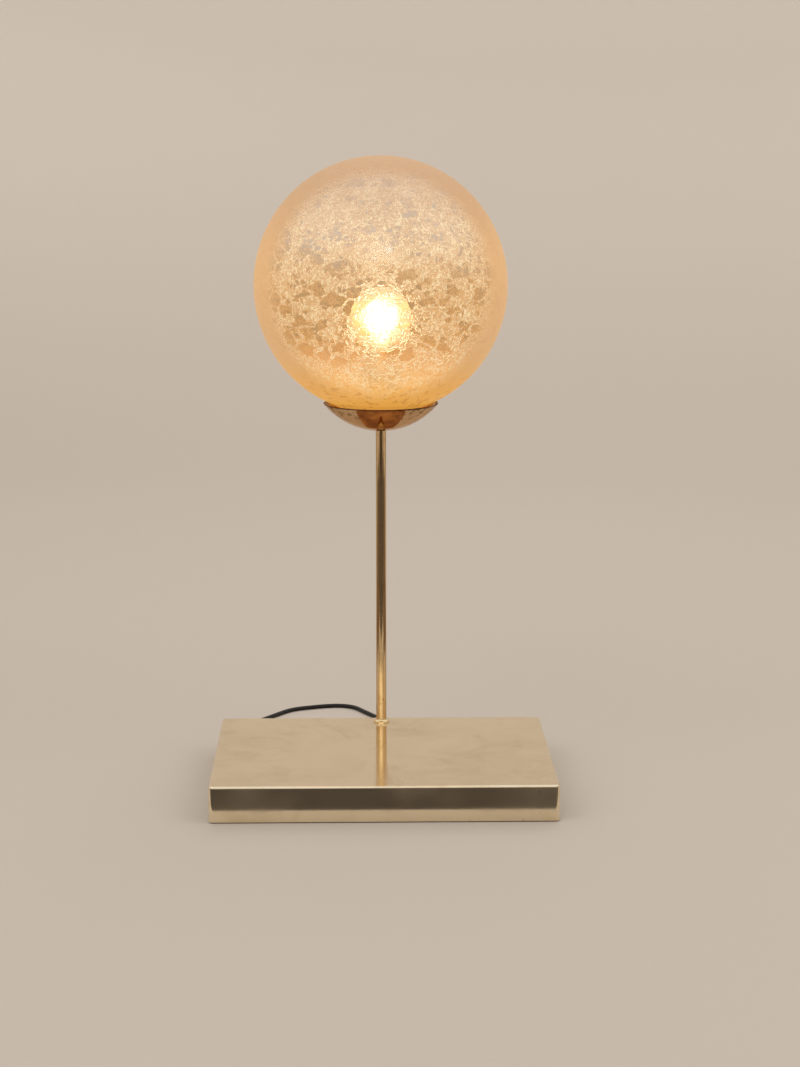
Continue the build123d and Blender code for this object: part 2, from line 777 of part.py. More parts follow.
bulb_stem_bottom = bulb_cap_top - bulb_neck_depth
bulb_stem_top = bulb_stem_bottom + bulb_stem_height
bulb_stem_rim = bulb_neck_radius - bulb_glass_wall - bulb_glass_play
with BuildPart() as bulb_stem:
    with Locations((0, stem_y, bulb_stem_bottom)):
        Cone(bulb_stem_rim, bulb_stem_radius, bulb_stem_flare, align=standing)
        Cylinder(bulb_stem_radius, bulb_stem_height, align=standing)
bulb_stem.part.label = "bulb_stem"
export_step(bulb_stem.part, "parts/bulb_stem.step")

lead_top = bulb_stem_top + lead_height
with BuildPart() as bulb_leads:
    for side in (-1, 1):
        with BuildLine(stem_plane) as lead_line:
            FilletPolyline(
                (side * lead_foot, bulb_stem_top),
                (side * lead_foot, bulb_stem_top + lead_height / 4),
                (side * lead_spread, lead_top - lead_height / 4),
                (side * lead_spread, lead_top),
                radius=3 * lead_diameter,
            )
        with BuildSketch(Plane(origin=lead_line.line @ 0, z_dir=lead_line.line % 0)):
            Circle(lead_diameter / 2)
        sweep()
bulb_leads.part.label = "bulb_leads"
export_step(bulb_leads.part, "parts/bulb_leads.step")

filament_z = lead_top + filament_diameter / 2 + bulb_glass_play
with BuildPart() as bulb_filament:
    with BuildLine(stem_plane) as filament_line:
        ThreePointArc(
            (-lead_spread - lead_diameter, filament_z),
            (0, filament_z + filament_arch),
            (lead_spread + lead_diameter, filament_z),
        )
    with BuildSketch(Plane(origin=filament_line.line @ 0, z_dir=filament_line.line % 0)):
        Circle(filament_diameter / 2)
    sweep()
bulb_filament.part.label = "bulb_filament"
export_step(bulb_filament.part, "parts/bulb_filament.step")

# Two cores: from the sheath's end round a half turn, up the stem and apart to the terminals
loop_x = outlet_x / 2
loop_y = sheath_end_y - wire_lead_in
wire_split = cup_nipple_top + holder_floor
with BuildPart() as stem_wires:
    for side in (-1, 1):
        loop_radius = loop_x - side * wire_pitch / 2
        fall_x = loop_x + loop_radius
        rise_x = loop_x - loop_radius
        with BuildLine() as wire_line:
            Line((fall_x, sheath_end_y, outlet_height), (fall_x, loop_y, outlet_height))
            ThreePointArc(
                (fall_x, loop_y, outlet_height),
                (loop_x, loop_y - loop_radius, outlet_height),
                (rise_x, loop_y, outlet_height),
            )
            FilletPolyline(
                (rise_x, loop_y, outlet_height),
                (rise_x, stem_y, outlet_height),
                (rise_x, stem_y, wire_split),
                (side * terminal_spacing / 2, stem_y, insert_bottom - wire_end_bend / 2),
                (side * terminal_spacing / 2, stem_y, insert_top),
                radius=[wire_bend, wire_end_bend, wire_end_bend],
            )
        with BuildSketch(Plane(origin=wire_line.line @ 0, z_dir=wire_line.line % 0)):
            Circle(wire_diameter / 2)
        sweep()
stem_wires.part.label = "stem_wires"
export_step(stem_wires.part, "parts/stem_wires.step")

# Cord switch: two shells, a rocker on a pin and two contact blades
switch_y = back_y + coil_behind - coil_inner_radius - coil_half_turns * coil_pitch / 2
switch_seam = Plane(origin=(switch_x, switch_y, switch_seam_height))
switch_inner_length = switch_length - 2 * switch_wall
switch_inner_width = switch_width - 2 * switch_wall
switch_ceiling = switch_height - switch_wall
switch_screw_places = [
    (switch_x + switch_screw_x, switch_y + switch_screw_y),
    (switch_x - switch_screw_x, switch_y - switch_screw_y),
]
switch_screw_sink = switch_screw_head_diameter / 2 + cord_play
switch_screw_bore = switch_screw_diameter / 2 + thread_gap
cord_through = Location((switch_x, switch_y, switch_seam_height), (0, 90, 0))
with BuildPart() as switch_base:
    with BuildSketch(switch_seam):
        SlotOverall(switch_length, switch_width)
    extrude(amount=-switch_seam_height)
    fillet(switch_base.faces().sort_by(Axis.Z)[0].edges(), switch_round)
    with BuildSketch(switch_seam):
        SlotOverall(switch_inner_length, switch_inner_width)
    extrude(amount=switch_wall - switch_seam_height, mode=Mode.SUBTRACT)
    with Locations(*[(x, y, switch_wall) for x, y in switch_screw_places]):
        Cylinder(switch_boss_diameter / 2, switch_seam_height - switch_wall, align=standing)
    with Locations(*[(x, y, 0) for x, y in switch_screw_places]):
        Cylinder(switch_screw_sink, switch_screw_head_height, align=standing, mode=Mode.SUBTRACT)
        Cylinder(switch_screw_bore, switch_seam_height, align=standing, mode=Mode.SUBTRACT)
    with Locations(cord_through):
        Cylinder(cord_bore, 2 * switch_length, mode=Mode.SUBTRACT)
switch_base.part.label = "switch_base"
export_step(switch_base.part, "parts/switch_base.step")

rocker_pivot = switch_height - rocker_pivot_drop
window_length = 2 * (rocker_radius + rocker_play)
window_width = rocker_width + 2 * rocker_play
lug_y = window_width / 2 + lug_thickness / 2
pin_through = Location((switch_x, switch_y, rocker_pivot), (90, 0, 0))
with BuildPart() as switch_cover:
    with BuildSketch(switch_seam):
        SlotOverall(switch_length, switch_width)
    extrude(amount=switch_height - switch_seam_height)
    fillet(switch_cover.faces().sort_by(Axis.Z)[-1].edges(), switch_round)
    with BuildSketch(switch_seam):
        SlotOverall(switch_inner_length, switch_inner_width)
    extrude(amount=switch_ceiling - switch_seam_height, mode=Mode.SUBTRACT)
    with Locations(*[(x, y, switch_seam_height) for x, y in switch_screw_places]):
        Cylinder(switch_boss_diameter / 2, switch_ceiling - switch_seam_height, align=standing)
        Cylinder(switch_screw_bore, switch_screw_reach, align=standing, mode=Mode.SUBTRACT)
    with Locations((switch_x, switch_y, switch_ceiling)):
        with GridLocations(0, 2 * lug_y, 1, 2):
            Box(lug_length, lug_thickness, switch_ceiling - rocker_pivot + pin_diameter, align=hanging)
    with Locations((switch_x, switch_y, switch_height)):
        Box(window_length, window_width, 2 * switch_wall, mode=Mode.SUBTRACT)
    with Locations(pin_through):
        Cylinder(pin_diameter / 2 + thread_gap, 2 * (lug_y + lug_thickness / 2), mode=Mode.SUBTRACT)
    with Locations(cord_through):
        Cylinder(cord_bore, 2 * switch_length, mode=Mode.SUBTRACT)
switch_cover.part.label = "switch_cover"
export_step(switch_cover.part, "parts/switch_cover.step")

# Rocker, drawn about its pivot: round ends that clear the window at any tilt, and a dished top
tilt = radians(rocker_tilt)
rocker_plane = Plane(
    origin=(switch_x, switch_y - rocker_width / 2, rocker_pivot),
    x_dir=(cos(tilt), 0, sin(tilt)),
    z_dir=(0, -1, 0),
)
tip_x = sqrt(rocker_radius**2 - rocker_tip_rise**2)
heel_x = sqrt(rocker_radius**2 - rocker_drop**2)
with BuildPart() as switch_rocker:
    with BuildSketch(rocker_plane):
        with BuildLine():
            ThreePointArc((heel_x, -rocker_drop), (rocker_radius, 0), (tip_x, rocker_tip_rise))
            ThreePointArc((tip_x, rocker_tip_rise), (0, rocker_middle_rise), (-tip_x, rocker_tip_rise))
            ThreePointArc((-tip_x, rocker_tip_rise), (-rocker_radius, 0), (-heel_x, -rocker_drop))
            Line((-heel_x, -rocker_drop), (heel_x, -rocker_drop))
        make_face()
        Circle(pin_diameter / 2 + pin_play, mode=Mode.SUBTRACT)
    extrude(amount=-rocker_width)
switch_rocker.part.label = "switch_rocker"
export_step(switch_rocker.part, "parts/switch_rocker.step")

with BuildPart() as switch_pin:
    with Locations(pin_through):
        Cylinder(pin_diameter / 2, 2 * (lug_y + lug_thickness / 2))
switch_pin.part.label = "switch_pin"
export_step(switch_pin.part, "parts/switch_pin.step")

with BuildPart() as switch_screws:
    with Locations(*[(x, y, 0) for x, y in switch_screw_places]):
        Cylinder(switch_screw_head_diameter / 2, switch_screw_head_height, align=standing)
        Cylinder(switch_screw_diameter / 2, switch_seam_height + switch_screw_reach, align=standing)
switch_screws.part.label = "switch_screws"
export_step(switch_screws.part, "parts/switch_screws.step")

with BuildPart() as switch_contacts:
    with Locations((switch_x, switch_y, switch_wall)):
        with GridLocations(2 * blade_offset, 0, 2, 1):
            Box(blade_length, blade_width, blade_thickness, align=standing)
            Box(blade_thickness, blade_width, blade_height, align=standing)
switch_contacts.part.label = "switch_contacts"
export_step(switch_contacts.part, "parts/switch_contacts.step")

# Cord from the grommet to the switch: out and down to the table, the loop behind the base, and back.
# Each point is x, the distance behind the base, and the height of the cord's middle.
lead_points = [
    (outlet_x, grommet_length, outlet_height),
    (outlet_x, 46, outlet_height),
    (24, 67, 4.4),
    (15, 88, cord_radius),
    (4.6, 108, cord_radius),
    (-7.5, 130, cord_radius),
    (-20, 153, cord_radius),
    (-27, 165.5, cord_radius),
    (-40, 173, cord_radius),
    (-56, 172.5, cord_radius),
    (-76, 166, cord_radius),
    (-96, 157.5, cord_radius),
    (-111, 137, cord_radius),
    (-126, 114.5, cord_radius),
    (-141, 94.5, cord_radius),
    (-150.5, 74, cord_radius),
    (-153, 54, cord_radius),
    (-150, 36, cord_radius),
    (-139.5, 20.5, cord_radius),
    (switch_x - switch_length / 2 - 18.5, switch_y - back_y, switch_seam_height),
    (switch_x - switch_length / 2, switch_y - back_y, switch_seam_height),
]
lead_route = [(x, back_y + behind, z) for x, behind, z in lead_points]
lead_radii = corner_radii(lead_route)
with BuildPart() as cord_lead:
    with BuildLine() as lead_path:
        FilletPolyline(*lead_route, radius=lead_radii)
    with BuildSketch(Plane(origin=lead_path.line @ 0, z_dir=lead_path.line % 0)):
        Circle(cord_radius)
    sweep()
cord_lead.part.label = "cord_lead"
export_step(cord_lead.part, "parts/cord_lead.step")
tell_tube("cord_lead", cord_lead, lead_path.wire().length, lead_radii)

# Coil: half-turn arcs whose radius steps by half a pitch, with one climbing half turn in the middle
coil_low = coil_lift + cord_radius
coil_high = coil_low + coil_pitch
coil_start_y = switch_y
coil_radii = [coil_inner_radius + coil_pitch / 2 * step for step in range(coil_half_turns, 0, -1)]
with BuildPart() as cord_coil:
    with BuildLine() as coil_path:
        Line((coil_x - cord_diameter, coil_start_y, coil_low), (coil_x, coil_start_y, coil_low))
        turn_y = coil_start_y
        way = 1
        for radius in coil_radii:
            ThreePointArc(
                (coil_x, turn_y, coil_low),
                (coil_x + way * radius, turn_y + way * radius, coil_low),
                (coil_x, turn_y + 2 * way * radius, coil_low),
            )
            turn_y += 2 * way * radius
            way = -way
        climb_radius = hypot(coil_inner_radius, coil_pitch / 2)
        climb_middle = (
            coil_x + way * climb_radius,
            turn_y + way * coil_inner_radius,
            (coil_low + coil_high) / 2,
        )
        climb_end = (coil_x, turn_y + 2 * way * coil_inner_radius, coil_high)
        first_climb = TangentArc((coil_x, turn_y, coil_low), climb_middle, tangent=(way, 0, 0))
        TangentArc(climb_middle, climb_end, tangent=first_climb % 1)
        turn_y += 2 * way * coil_inner_radius
        way = -way
        for radius in reversed(coil_radii):
            ThreePointArc(
                (coil_x, turn_y, coil_high),
                (coil_x + way * radius, turn_y + way * radius, coil_high),
                (coil_x, turn_y + 2 * way * radius, coil_high),
            )
            turn_y += 2 * way * radius
            way = -way
        Line((coil_x, turn_y, coil_high), (coil_x + way * cord_diameter, turn_y, coil_high))
    with BuildSketch(Plane(origin=coil_path.line @ 0, z_dir=coil_path.line % 0)):
        Circle(cord_radius)
    sweep()
cord_coil.part.label = "cord_coil"
export_step(cord_coil.part, "parts/cord_coil.step")
tell_tube("cord_coil", cord_coil, coil_path.wire().length, coil_radii + [coil_inner_radius])
coil_end_y = turn_y

# Least gap of the coil to itself, measured on points along its middle line
coil_length = coil_path.wire().length
sample_count = 720
coil_samples = [coil_path.line @ (i / sample_count) for i in range(sample_count + 1)]
skip = int(coil_inner_radius / (coil_length / sample_count))
coil_gap = min(
    (coil_samples[i] - coil_samples[j]).length - cord_diameter
    for i in range(sample_count + 1)
    for j in range(i + skip, sample_count + 1)
)
print("cord_coil least gap to itself", round(coil_gap, 2))

# Tie: a flat band round the coil's bundle on the side towards the grommet
tie_inner_x = coil_x + coil_inner_radius - cord_radius - tie_play
tie_outer_x = coil_x + coil_radii[0] + cord_radius + tie_play
tie_wrap = 2 * tie_thickness
tie_length = tie_outer_x - tie_inner_x
tie_height = coil_pitch + cord_diameter + 2 * tie_play
tie_y = (coil_start_y + coil_end_y) / 2
tie_middle = ((tie_inner_x + tie_outer_x) / 2, (coil_low + coil_high) / 2)
tie_plane = Plane(origin=(0, tie_y + tie_width / 2, 0), x_dir=(1, 0, 0), z_dir=(0, -1, 0))
with BuildPart() as coil_tie:
    with BuildSketch(tie_plane):
        with Locations(tie_middle):
            RectangleRounded(tie_length + tie_wrap, tie_height + tie_wrap, tie_wrap)
            RectangleRounded(tie_length, tie_height, tie_thickness, mode=Mode.SUBTRACT)
    extrude(amount=tie_width)
coil_tie.part.label = "coil_tie"
export_step(coil_tie.part, "parts/coil_tie.step")

# Cord from the switch to the coil, and from the coil to the plug
link_points = [
    (switch_x + switch_length / 2, switch_y - back_y, switch_seam_height),
    (-39.5, switch_y - back_y, switch_seam_height),
    (-29, switch_y - back_y, coil_low),
    (coil_x - cord_diameter, switch_y - back_y, coil_low),
]
link_route = [(x, back_y + behind, z) for x, behind, z in link_points]
link_radii = corner_radii(link_route)
with BuildPart() as cord_link:
    with BuildLine() as link_path:
        FilletPolyline(*link_route, radius=link_radii)
    with BuildSketch(Plane(origin=link_path.line @ 0, z_dir=link_path.line % 0)):
        Circle(cord_radius)
    sweep()
cord_link.part.label = "cord_link"
export_step(cord_link.part, "parts/cord_link.step")
tell_tube("cord_link", cord_link, link_path.wire().length, link_radii)

plug_axis_height = plug_height / 2
tail_points = [
    (coil_x - cord_diameter, coil_end_y - back_y, coil_high),
    (-34, coil_end_y - back_y, coil_high),
    (-48, 78, 8.0),
    (-59, 67.5, 7.3),
    (-72, 60.5, plug_axis_height),
    (-86.5, 60.5, plug_axis_height),
]
tail_route = [(x, back_y + behind, z) for x, behind, z in tail_points]
tail_radii = corner_radii(tail_route)
with BuildPart() as cord_tail:
    with BuildLine() as tail_path:
        FilletPolyline(*tail_route, radius=tail_radii)
    with BuildSketch(Plane(origin=tail_path.line @ 0, z_dir=tail_path.line % 0)):
        Circle(cord_radius)
    sweep()
cord_tail.part.label = "cord_tail"
export_step(cord_tail.part, "parts/cord_tail.step")
tell_tube("cord_tail", cord_tail, tail_path.wire().length, tail_radii)

# Plug: a flat tapering body with a relief at the cord, sleeved pins with bare tips
plug_entry = Vector(*tail_route[-1])
plug_plane = Plane(origin=plug_entry, x_dir=(0, 1, 0), z_dir=(-1, 0, 0))
plug_face = plug_relief_length + plug_body_length
with BuildPart() as plug_body:
    with BuildSketch(plug_plane):
        Circle(plug_relief_tip_radius)
    with BuildSketch(plug_plane.offset(plug_relief_length)):
        Circle(plug_relief_root_radius)
    loft()
    with BuildSketch(plug_plane.offset(plug_relief_length)):
        SlotOverall(plug_waist_width, plug_waist_height)
    with BuildSketch(plug_plane.offset(plug_face)):
        SlotOverall(plug_width, plug_height)
    loft()
    with BuildSketch(plug_plane.offset(plug_face)):
        with GridLocations(pin_spacing, 0, 2, 1):
            Circle(pin_sleeve_diameter / 2)
    extrude(amount=pin_sleeve_length)
    with BuildSketch(plug_plane.offset(plug_face)):
        with GridLocations(pin_spacing, 0, 2, 1):
            Circle(pin_core_diameter / 2 + thread_gap)
    extrude(amount=pin_sleeve_length, mode=Mode.SUBTRACT)
plug_body.part.label = "plug_body"
export_step(plug_body.part, "parts/plug_body.step")

with BuildPart() as plug_pins:
    with BuildSketch(plug_plane.offset(plug_face)):
        with GridLocations(pin_spacing, 0, 2, 1):
            Circle(pin_core_diameter / 2)
    extrude(amount=pin_sleeve_length)
    with BuildSketch(plug_plane.offset(plug_face + pin_sleeve_length)):
        with GridLocations(pin_spacing, 0, 2, 1):
            Circle(pin_tip_diameter / 2)
    extrude(amount=pin_tip_length)
    fillet(plug_pins.faces().group_by(Axis.X)[0].edges(), 0.4 * pin_tip_diameter)
plug_pins.part.label = "plug_pins"
export_step(plug_pins.part, "parts/plug_pins.step")

print("globe centre", round(globe_centre, 2), "top", round(globe_centre + globe_half_height, 2))
print("bulb centre", round(bulb_centre, 2), "cup rim", round(cup_rim_z, 2), "seat", round(seat_top, 2))
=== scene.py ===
import math

import bpy
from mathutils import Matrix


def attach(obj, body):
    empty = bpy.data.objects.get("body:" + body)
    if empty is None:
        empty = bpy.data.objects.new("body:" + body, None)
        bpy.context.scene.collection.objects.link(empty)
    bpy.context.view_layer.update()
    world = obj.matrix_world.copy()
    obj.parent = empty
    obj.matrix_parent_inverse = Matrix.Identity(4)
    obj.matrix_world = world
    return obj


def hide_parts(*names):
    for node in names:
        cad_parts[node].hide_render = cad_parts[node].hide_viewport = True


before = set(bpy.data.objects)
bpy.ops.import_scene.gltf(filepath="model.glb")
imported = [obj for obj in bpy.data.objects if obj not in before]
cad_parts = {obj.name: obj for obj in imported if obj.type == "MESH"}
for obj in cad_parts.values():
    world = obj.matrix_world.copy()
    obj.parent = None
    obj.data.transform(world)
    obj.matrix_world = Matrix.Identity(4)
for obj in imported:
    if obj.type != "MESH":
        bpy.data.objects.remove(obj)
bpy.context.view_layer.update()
print("frame loaded:", len(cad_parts), "nodes")


# Camera: a portrait frame of 800 by 1067, fitted to the photographed lamp
cameraSetup = {
    "place": (-0.0270, -2.1965, 0.6572),
    "pitchDown": 10.516,
    "turnRight": 1.144,
    "focalPixels": 2334.2,
    "frameHeight": 1067,
    "sensor": 36.0,
    "farthest": 50,
}


def addCamera(setup):
    data = bpy.data.cameras.new("photoCamera")
    data.sensor_fit = "VERTICAL"
    data.sensor_height = setup["sensor"]
    data.lens = setup["sensor"] * setup["focalPixels"] / setup["frameHeight"]
    data.clip_end = setup["farthest"]
    camera = bpy.data.objects.new("photoCamera", data)
    bpy.context.scene.collection.objects.link(camera)
    camera.location = setup["place"]
    camera.rotation_euler = (
        math.radians(90 - setup["pitchDown"]),
        0,
        math.radians(-setup["turnRight"]),
    )
    bpy.context.scene.camera = camera


addCamera(cameraSetup)
bpy.context.scene.view_settings.view_transform = "Standard"
print("camera placed")


# Shader maths: a wrapped socket takes + - and * and adds the Math nodes by itself
class Sock:
    def __init__(self, tree, socket):
        self.tree = tree
        self.socket = socket

    def maths(self, operation, first, second):
        node = self.tree.nodes.new("ShaderNodeMath")
        node.operation = operation
        feed(self.tree, node.inputs[0], first)
        feed(self.tree, node.inputs[1], second)
        return Sock(self.tree, node.outputs[0])

    def __add__(self, other):
        return self.maths("ADD", self, other)

    def __radd__(self, other):
        return self.maths("ADD", other, self)

    def __sub__(self, other):
        return self.maths("SUBTRACT", self, other)

    def __rsub__(self, other):
        return self.maths("SUBTRACT", other, self)

    def __mul__(self, other):
        return self.maths("MULTIPLY", self, other)

    def __rmul__(self, other):
        return self.maths("MULTIPLY", other, self)


def feed(tree, slot, value):
    if isinstance(value, Sock):
        tree.links.new(value.socket, slot)
    elif slot.type == "RGBA":
        slot.default_value = (*value, 1)
    else:
        slot.default_value = value


class Finish:
    def __init__(self, name=None, owner=None):
        self.owner = owner or bpy.data.materials.new(name)
        self.owner.use_nodes = True
        self.tree = self.owner.node_tree
        self.tree.nodes.clear()

    # Any node: its type, its settings, the values or links of its sockets, and the output that is wanted
    def node(self, kind, settings=None, sockets=None, out=0):
        node = self.tree.nodes.new("ShaderNode" + kind)
        for key, value in (settings or {}).items():
            setattr(node, key, value)
        for key, value in (sockets or {}).items():
            feed(self.tree, node.inputs[key], value)
        return Sock(self.tree, node.outputs[out]) if node.outputs else None

    # Where on the part, in metres, stretched along each axis
    def place(self, stretch=(1, 1, 1)):
        here = self.node("TexCoord", out="Object")
        return self.node("Mapping", None, {"Vector": here, "Scale": stretch})

    def along(self, axis):
        return self.node("SeparateXYZ", None, {0: self.node("TexCoord", out="Object")}, out=axis)

    def noise(self, scale, detail=4, rough=0.55, twist=0, stretch=(1, 1, 1)):
        sockets = {"Vector": self.place(stretch), "Scale": scale, "Detail": detail}
        sockets.update({"Roughness": rough, "Distortion": twist})
        return self.node("TexNoise", None, sockets)

    def cells(self, scale, where, feature="F1", out="Distance"):
        return self.node("TexVoronoi", {"feature": feature}, {"Vector": where, "Scale": scale}, out)

    # A smooth step to 1 at the second limit, from 0 or a given start at the first
    def fade(self, value, first, second, start=0):
        sockets = {0: value, 1: first, 2: second, 3: start}
        return self.node("MapRange", {"interpolation_type": "SMOOTHSTEP"}, sockets)

    # Patches: noise that fades between two limits
    def patches(self, limits, **kind):
        return self.fade(self.noise(**kind), *limits)

    def sine(self, value):
        return self.node("Math", {"operation": "SINE"}, {0: value})

    def clamp(self, value):
        return self.node("Clamp", None, {0: value})

    # How far the surface turns away from the eye: 0 square on, 1 at the outline
    def turned(self):
        return self.node("LayerWeight", None, {"Blend": 0.5}, out="Facing")

    def blend(self, mask, first, second, way="MIX"):
        sockets = {0: mask, 6: first, 7: second}
        return self.node("Mix", {"data_type": "RGBA", "blend_type": way}, sockets, out=2)

    def bump(self, height, strength, distance):
        return self.node("Bump", None, {"Height": height, "Strength": strength, "Distance": distance})

    def principled(self, **sockets):
        named = {key.replace("_", " "): value for key, value in sockets.items()}
        return self.node("BsdfPrincipled", None, named)

    def layer(self, mask, under, over):
        return self.node("MixShader", None, {0: mask, 1: under, 2: over})

    def show(self, shader):
        self.node("OutputMaterial", None, {0: shader})
        return self.owner


dressed = set()


def wear(node, material):
    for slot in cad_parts[node].material_slots:
        slot.link = "OBJECT"
        slot.material = material
    dressed.add(node)


# Cord: black flex with a slight sheen, from the strain relief to the switch and on to the coil and plug.
# Routes are in millimetres: across, behind the base, up
cordSetup = {
    "diameter": 0.0044,
    "baseBack": 0.1225,
    "leadRoute": [
        (28, 28, 10), (28, 46, 10), (24, 67, 4.4), (15, 88, 2.2), (4.6, 108, 2.2), (-7.5, 130, 2.2),
        (-20, 153, 2.2), (-27, 165.5, 2.2), (-40, 173, 2.2), (-56, 172.5, 2.2), (-76, 166, 2.2),
        (-96, 157.5, 2.2), (-111, 137, 2.2), (-126, 114.5, 2.2), (-141, 94.5, 2.2), (-150.5, 74, 2.2),
        (-153, 54, 2.2), (-150, 36, 2.2), (-139.5, 20.5, 2.2), (-121.5, 11.75, 6.5), (-103, 11.75, 6.5),
    ],
    "linkRoute": [(-49, 11.75, 6.5), (-39.5, 11.75, 6.5), (-29, 11.75, 3.4), (-19.4, 11.75, 3.4)],
    "tailRoute": [
        (-19.4, 86.15, 8.3), (-34, 86.15, 8.3), (-48, 78, 8.0), (-59, 67.5, 7.3), (-72, 60.5, 6.85),
        (-86.5, 60.5, 6.85),
    ],
    "coilX": -15.0,
    "coilStart": 11.75,
    "coilLow": 3.4,
    "coilPitch": 4.9,
    "coilInner": 17.6,
    "coilHalfTurns": 7,
    "pointsPerHalfTurn": 8,
    "stepsAround": 6,
    "stepsAlong": 6,
    "splineOrder": 3,
    "black": (0.010, 0.0085, 0.0075),
    "dust": (0.030, 0.026, 0.023),
    "dustPatch": {"scale": 150, "detail": 3, "limits": (0.5, 0.8)},
    "dustShare": 0.6,
    "skin": {"scale": 2400, "detail": 2},
    "rough": 0.30,
    "skinRough": 0.14,
    "dustRough": 0.12,
    "relief": {"strength": 0.12, "distance": 0.0002},
    "specular": 0.3,
}


# Points of the coil: half turns that spiral in below, climb once, and spiral out above
def coilPoints(setup):
    points = []
    count = setup["pointsPerHalfTurn"]
    stepAngle = math.pi / count
    reach = 1 / math.cos(stepAngle / 2)
    behind = setup["coilStart"]
    way = 1
    turns = setup["coilHalfTurns"]
    for half in range(2 * turns + 1):
        radius = setup["coilInner"] + abs(turns - half) * setup["coilPitch"] / 2
        centre = behind + way * radius
        for j in range(count):
            angle = (j + 0.5) * stepAngle
            climb = min(max(half - turns + (j + 0.5) / count, 0), 1)
            points.append((
                setup["coilX"] + way * radius * reach * math.sin(angle),
                centre - way * radius * reach * math.cos(angle),
                setup["coilLow"] + setup["coilPitch"] * climb,
            ))
        behind += 2 * way * radius
        way = -way
    return points


def addCord(name, route, setup, material):
    curve = bpy.data.curves.new(name, "CURVE")
    curve.dimensions = "3D"
    curve.bevel_depth = setup["diameter"] / 2
    curve.bevel_resolution = setup["stepsAround"]
    curve.resolution_u = setup["stepsAlong"]
    curve.use_fill_caps = True
    spline = curve.splines.new("NURBS")
    spline.points.add(len(route) - 1)
    for point, (x, behind, z) in zip(spline.points, route):
        point.co = (x / 1000, setup["baseBack"] + behind / 1000, z / 1000, 1)
    spline.order_u = setup["splineOrder"]
    spline.use_endpoint_u = True
    cord = bpy.data.objects.new(name, curve)
    bpy.context.scene.collection.objects.link(cord)
    curve.materials.append(material)
    return cord


def cordFinish(setup):
    look = Finish("cordBlack")
    dust = look.patches(**setup["dustPatch"])
    skin = look.noise(**setup["skin"])
    return look.show(look.principled(
        Base_Color=look.blend(dust * setup["dustShare"], setup["black"], setup["dust"]),
        Roughness=setup["rough"] + skin * setup["skinRough"] + dust * setup["dustRough"],
        Normal=look.bump(skin, **setup["relief"]),
        Specular_IOR_Level=setup["specular"],
    ))


cordBlack = cordFinish(cordSetup)
leadCord = addCord("lead_cord", cordSetup["leadRoute"], cordSetup, cordBlack)
flexRoute = cordSetup["linkRoute"] + coilPoints(cordSetup) + cordSetup["tailRoute"]
flexCord = addCord("flex_cord", flexRoute, cordSetup, cordBlack)
for cord in (leadCord, flexCord):
    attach(cord, "lamp")
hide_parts("cord_lead")
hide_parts("cord_link", "cord_coil", "cord_tail")
print("cords laid")


# Stage: a round pale floor that curves up into a pale wall, the same on every side
stageSetup = {
    "floorRadius": 1.9,
    "bend": 2.2,
    "top": 2.6,
    "steps": 20,
    "around": 72,
    "floorTone": (0.475, 0.420, 0.362),
    "wallTone": (0.720, 0.645, 0.560),
    "paintedLiftRise": (-0.25, 0.9),
    "rough": 0.8,
    "plaster": {"scale": 60, "rough": 0.6},
    "relief": {"strength": 0.06, "distance": 0.003},
    "specular": 0.0,  # a dull floor, or it would mirror the cards
}


def addStage(setup):
    profile = [(setup["floorRadius"], 0.0)]
    for i in range(1, setup["steps"] + 1):
        angle = i / setup["steps"] * math.pi / 2
        reach = setup["floorRadius"] + setup["bend"] * math.sin(angle)
        profile.append((reach, setup["bend"] * (1 - math.cos(angle))))
    profile.append((profile[-1][0], setup["top"]))
    points = [(0, 0, 0)]
    faces = []
    rows = len(profile)
    for i in range(setup["around"]):
        angle = i / setup["around"] * 2 * math.pi
        points += [(r * math.cos(angle), r * math.sin(angle), z) for r, z in profile]
        here = 1 + i * rows
        there = 1 + (i + 1) % setup["around"] * rows
        faces.append((0, here, there))
        faces += [(here + j, here + j + 1, there + j + 1, there + j) for j in range(rows - 1)]
    mesh = bpy.data.meshes.new("stage")
    mesh.from_pydata(points, [], faces)
    mesh.shade_smooth()
    stage = bpy.data.objects.new("stage", mesh)
    bpy.context.scene.collection.objects.link(stage)
    look = Finish("stagePlaster")
    # The wall is painted paler than the floor, making up for the light that falls off up the bend
    rise = look.fade(look.along("Z"), *setup["paintedLiftRise"])
    mesh.materials.append(look.show(look.principled(
        Base_Color=look.blend(rise, setup["floorTone"], setup["wallTone"]),
        Roughness=setup["rough"],
        Normal=look.bump(look.noise(**setup["plaster"]), **setup["relief"]),
        Specular_IOR_Level=setup["specular"],
    )))


addStage(stageSetup)

# Light: three soft boxes under an even sky
lightSetup = {
    "keyBox": {
        "place": (-1.6, -1.4, 2.0), "target": (0.0, 0.1, 0.3), "size": 2.6, "power": 20,
        "colour": (1.0, 0.985, 0.965),
    },
    "fillBox": {
        "place": (1.9, -0.8, 1.7), "target": (0.0, 0.1, 0.3), "size": 2.0, "power": 12,
        "colour": (1.0, 0.98, 0.955),
    },
    "backBox": {
        "place": (0.3, 1.9, 2.2), "target": (0.0, 0.1, 0.2), "size": 2.3, "power": 15,
        "colour": (1.0, 0.985, 0.97),
    },
}
skySetup = {"colour": (0.90, 0.895, 0.89), "strength": 1.0}


def addBox(name, setup):
    data = bpy.data.lights.new(name, "AREA")
    data.size = setup["size"]
    data.energy = setup["power"]
    data.color = setup["colour"]
    box = bpy.data.objects.new(name, data)
    bpy.context.scene.collection.objects.link(box)
    box.location = setup["place"]
    box.visible_camera = False
    box.visible_glossy = False  # polished brass would show it as a white patch
    aim = [b - a for a, b in zip(setup["place"], setup["target"])]
    tilt = math.acos(-aim[2] / math.dist(setup["place"], setup["target"]))
    box.rotation_euler = (tilt, 0, math.atan2(-aim[0], aim[1]))


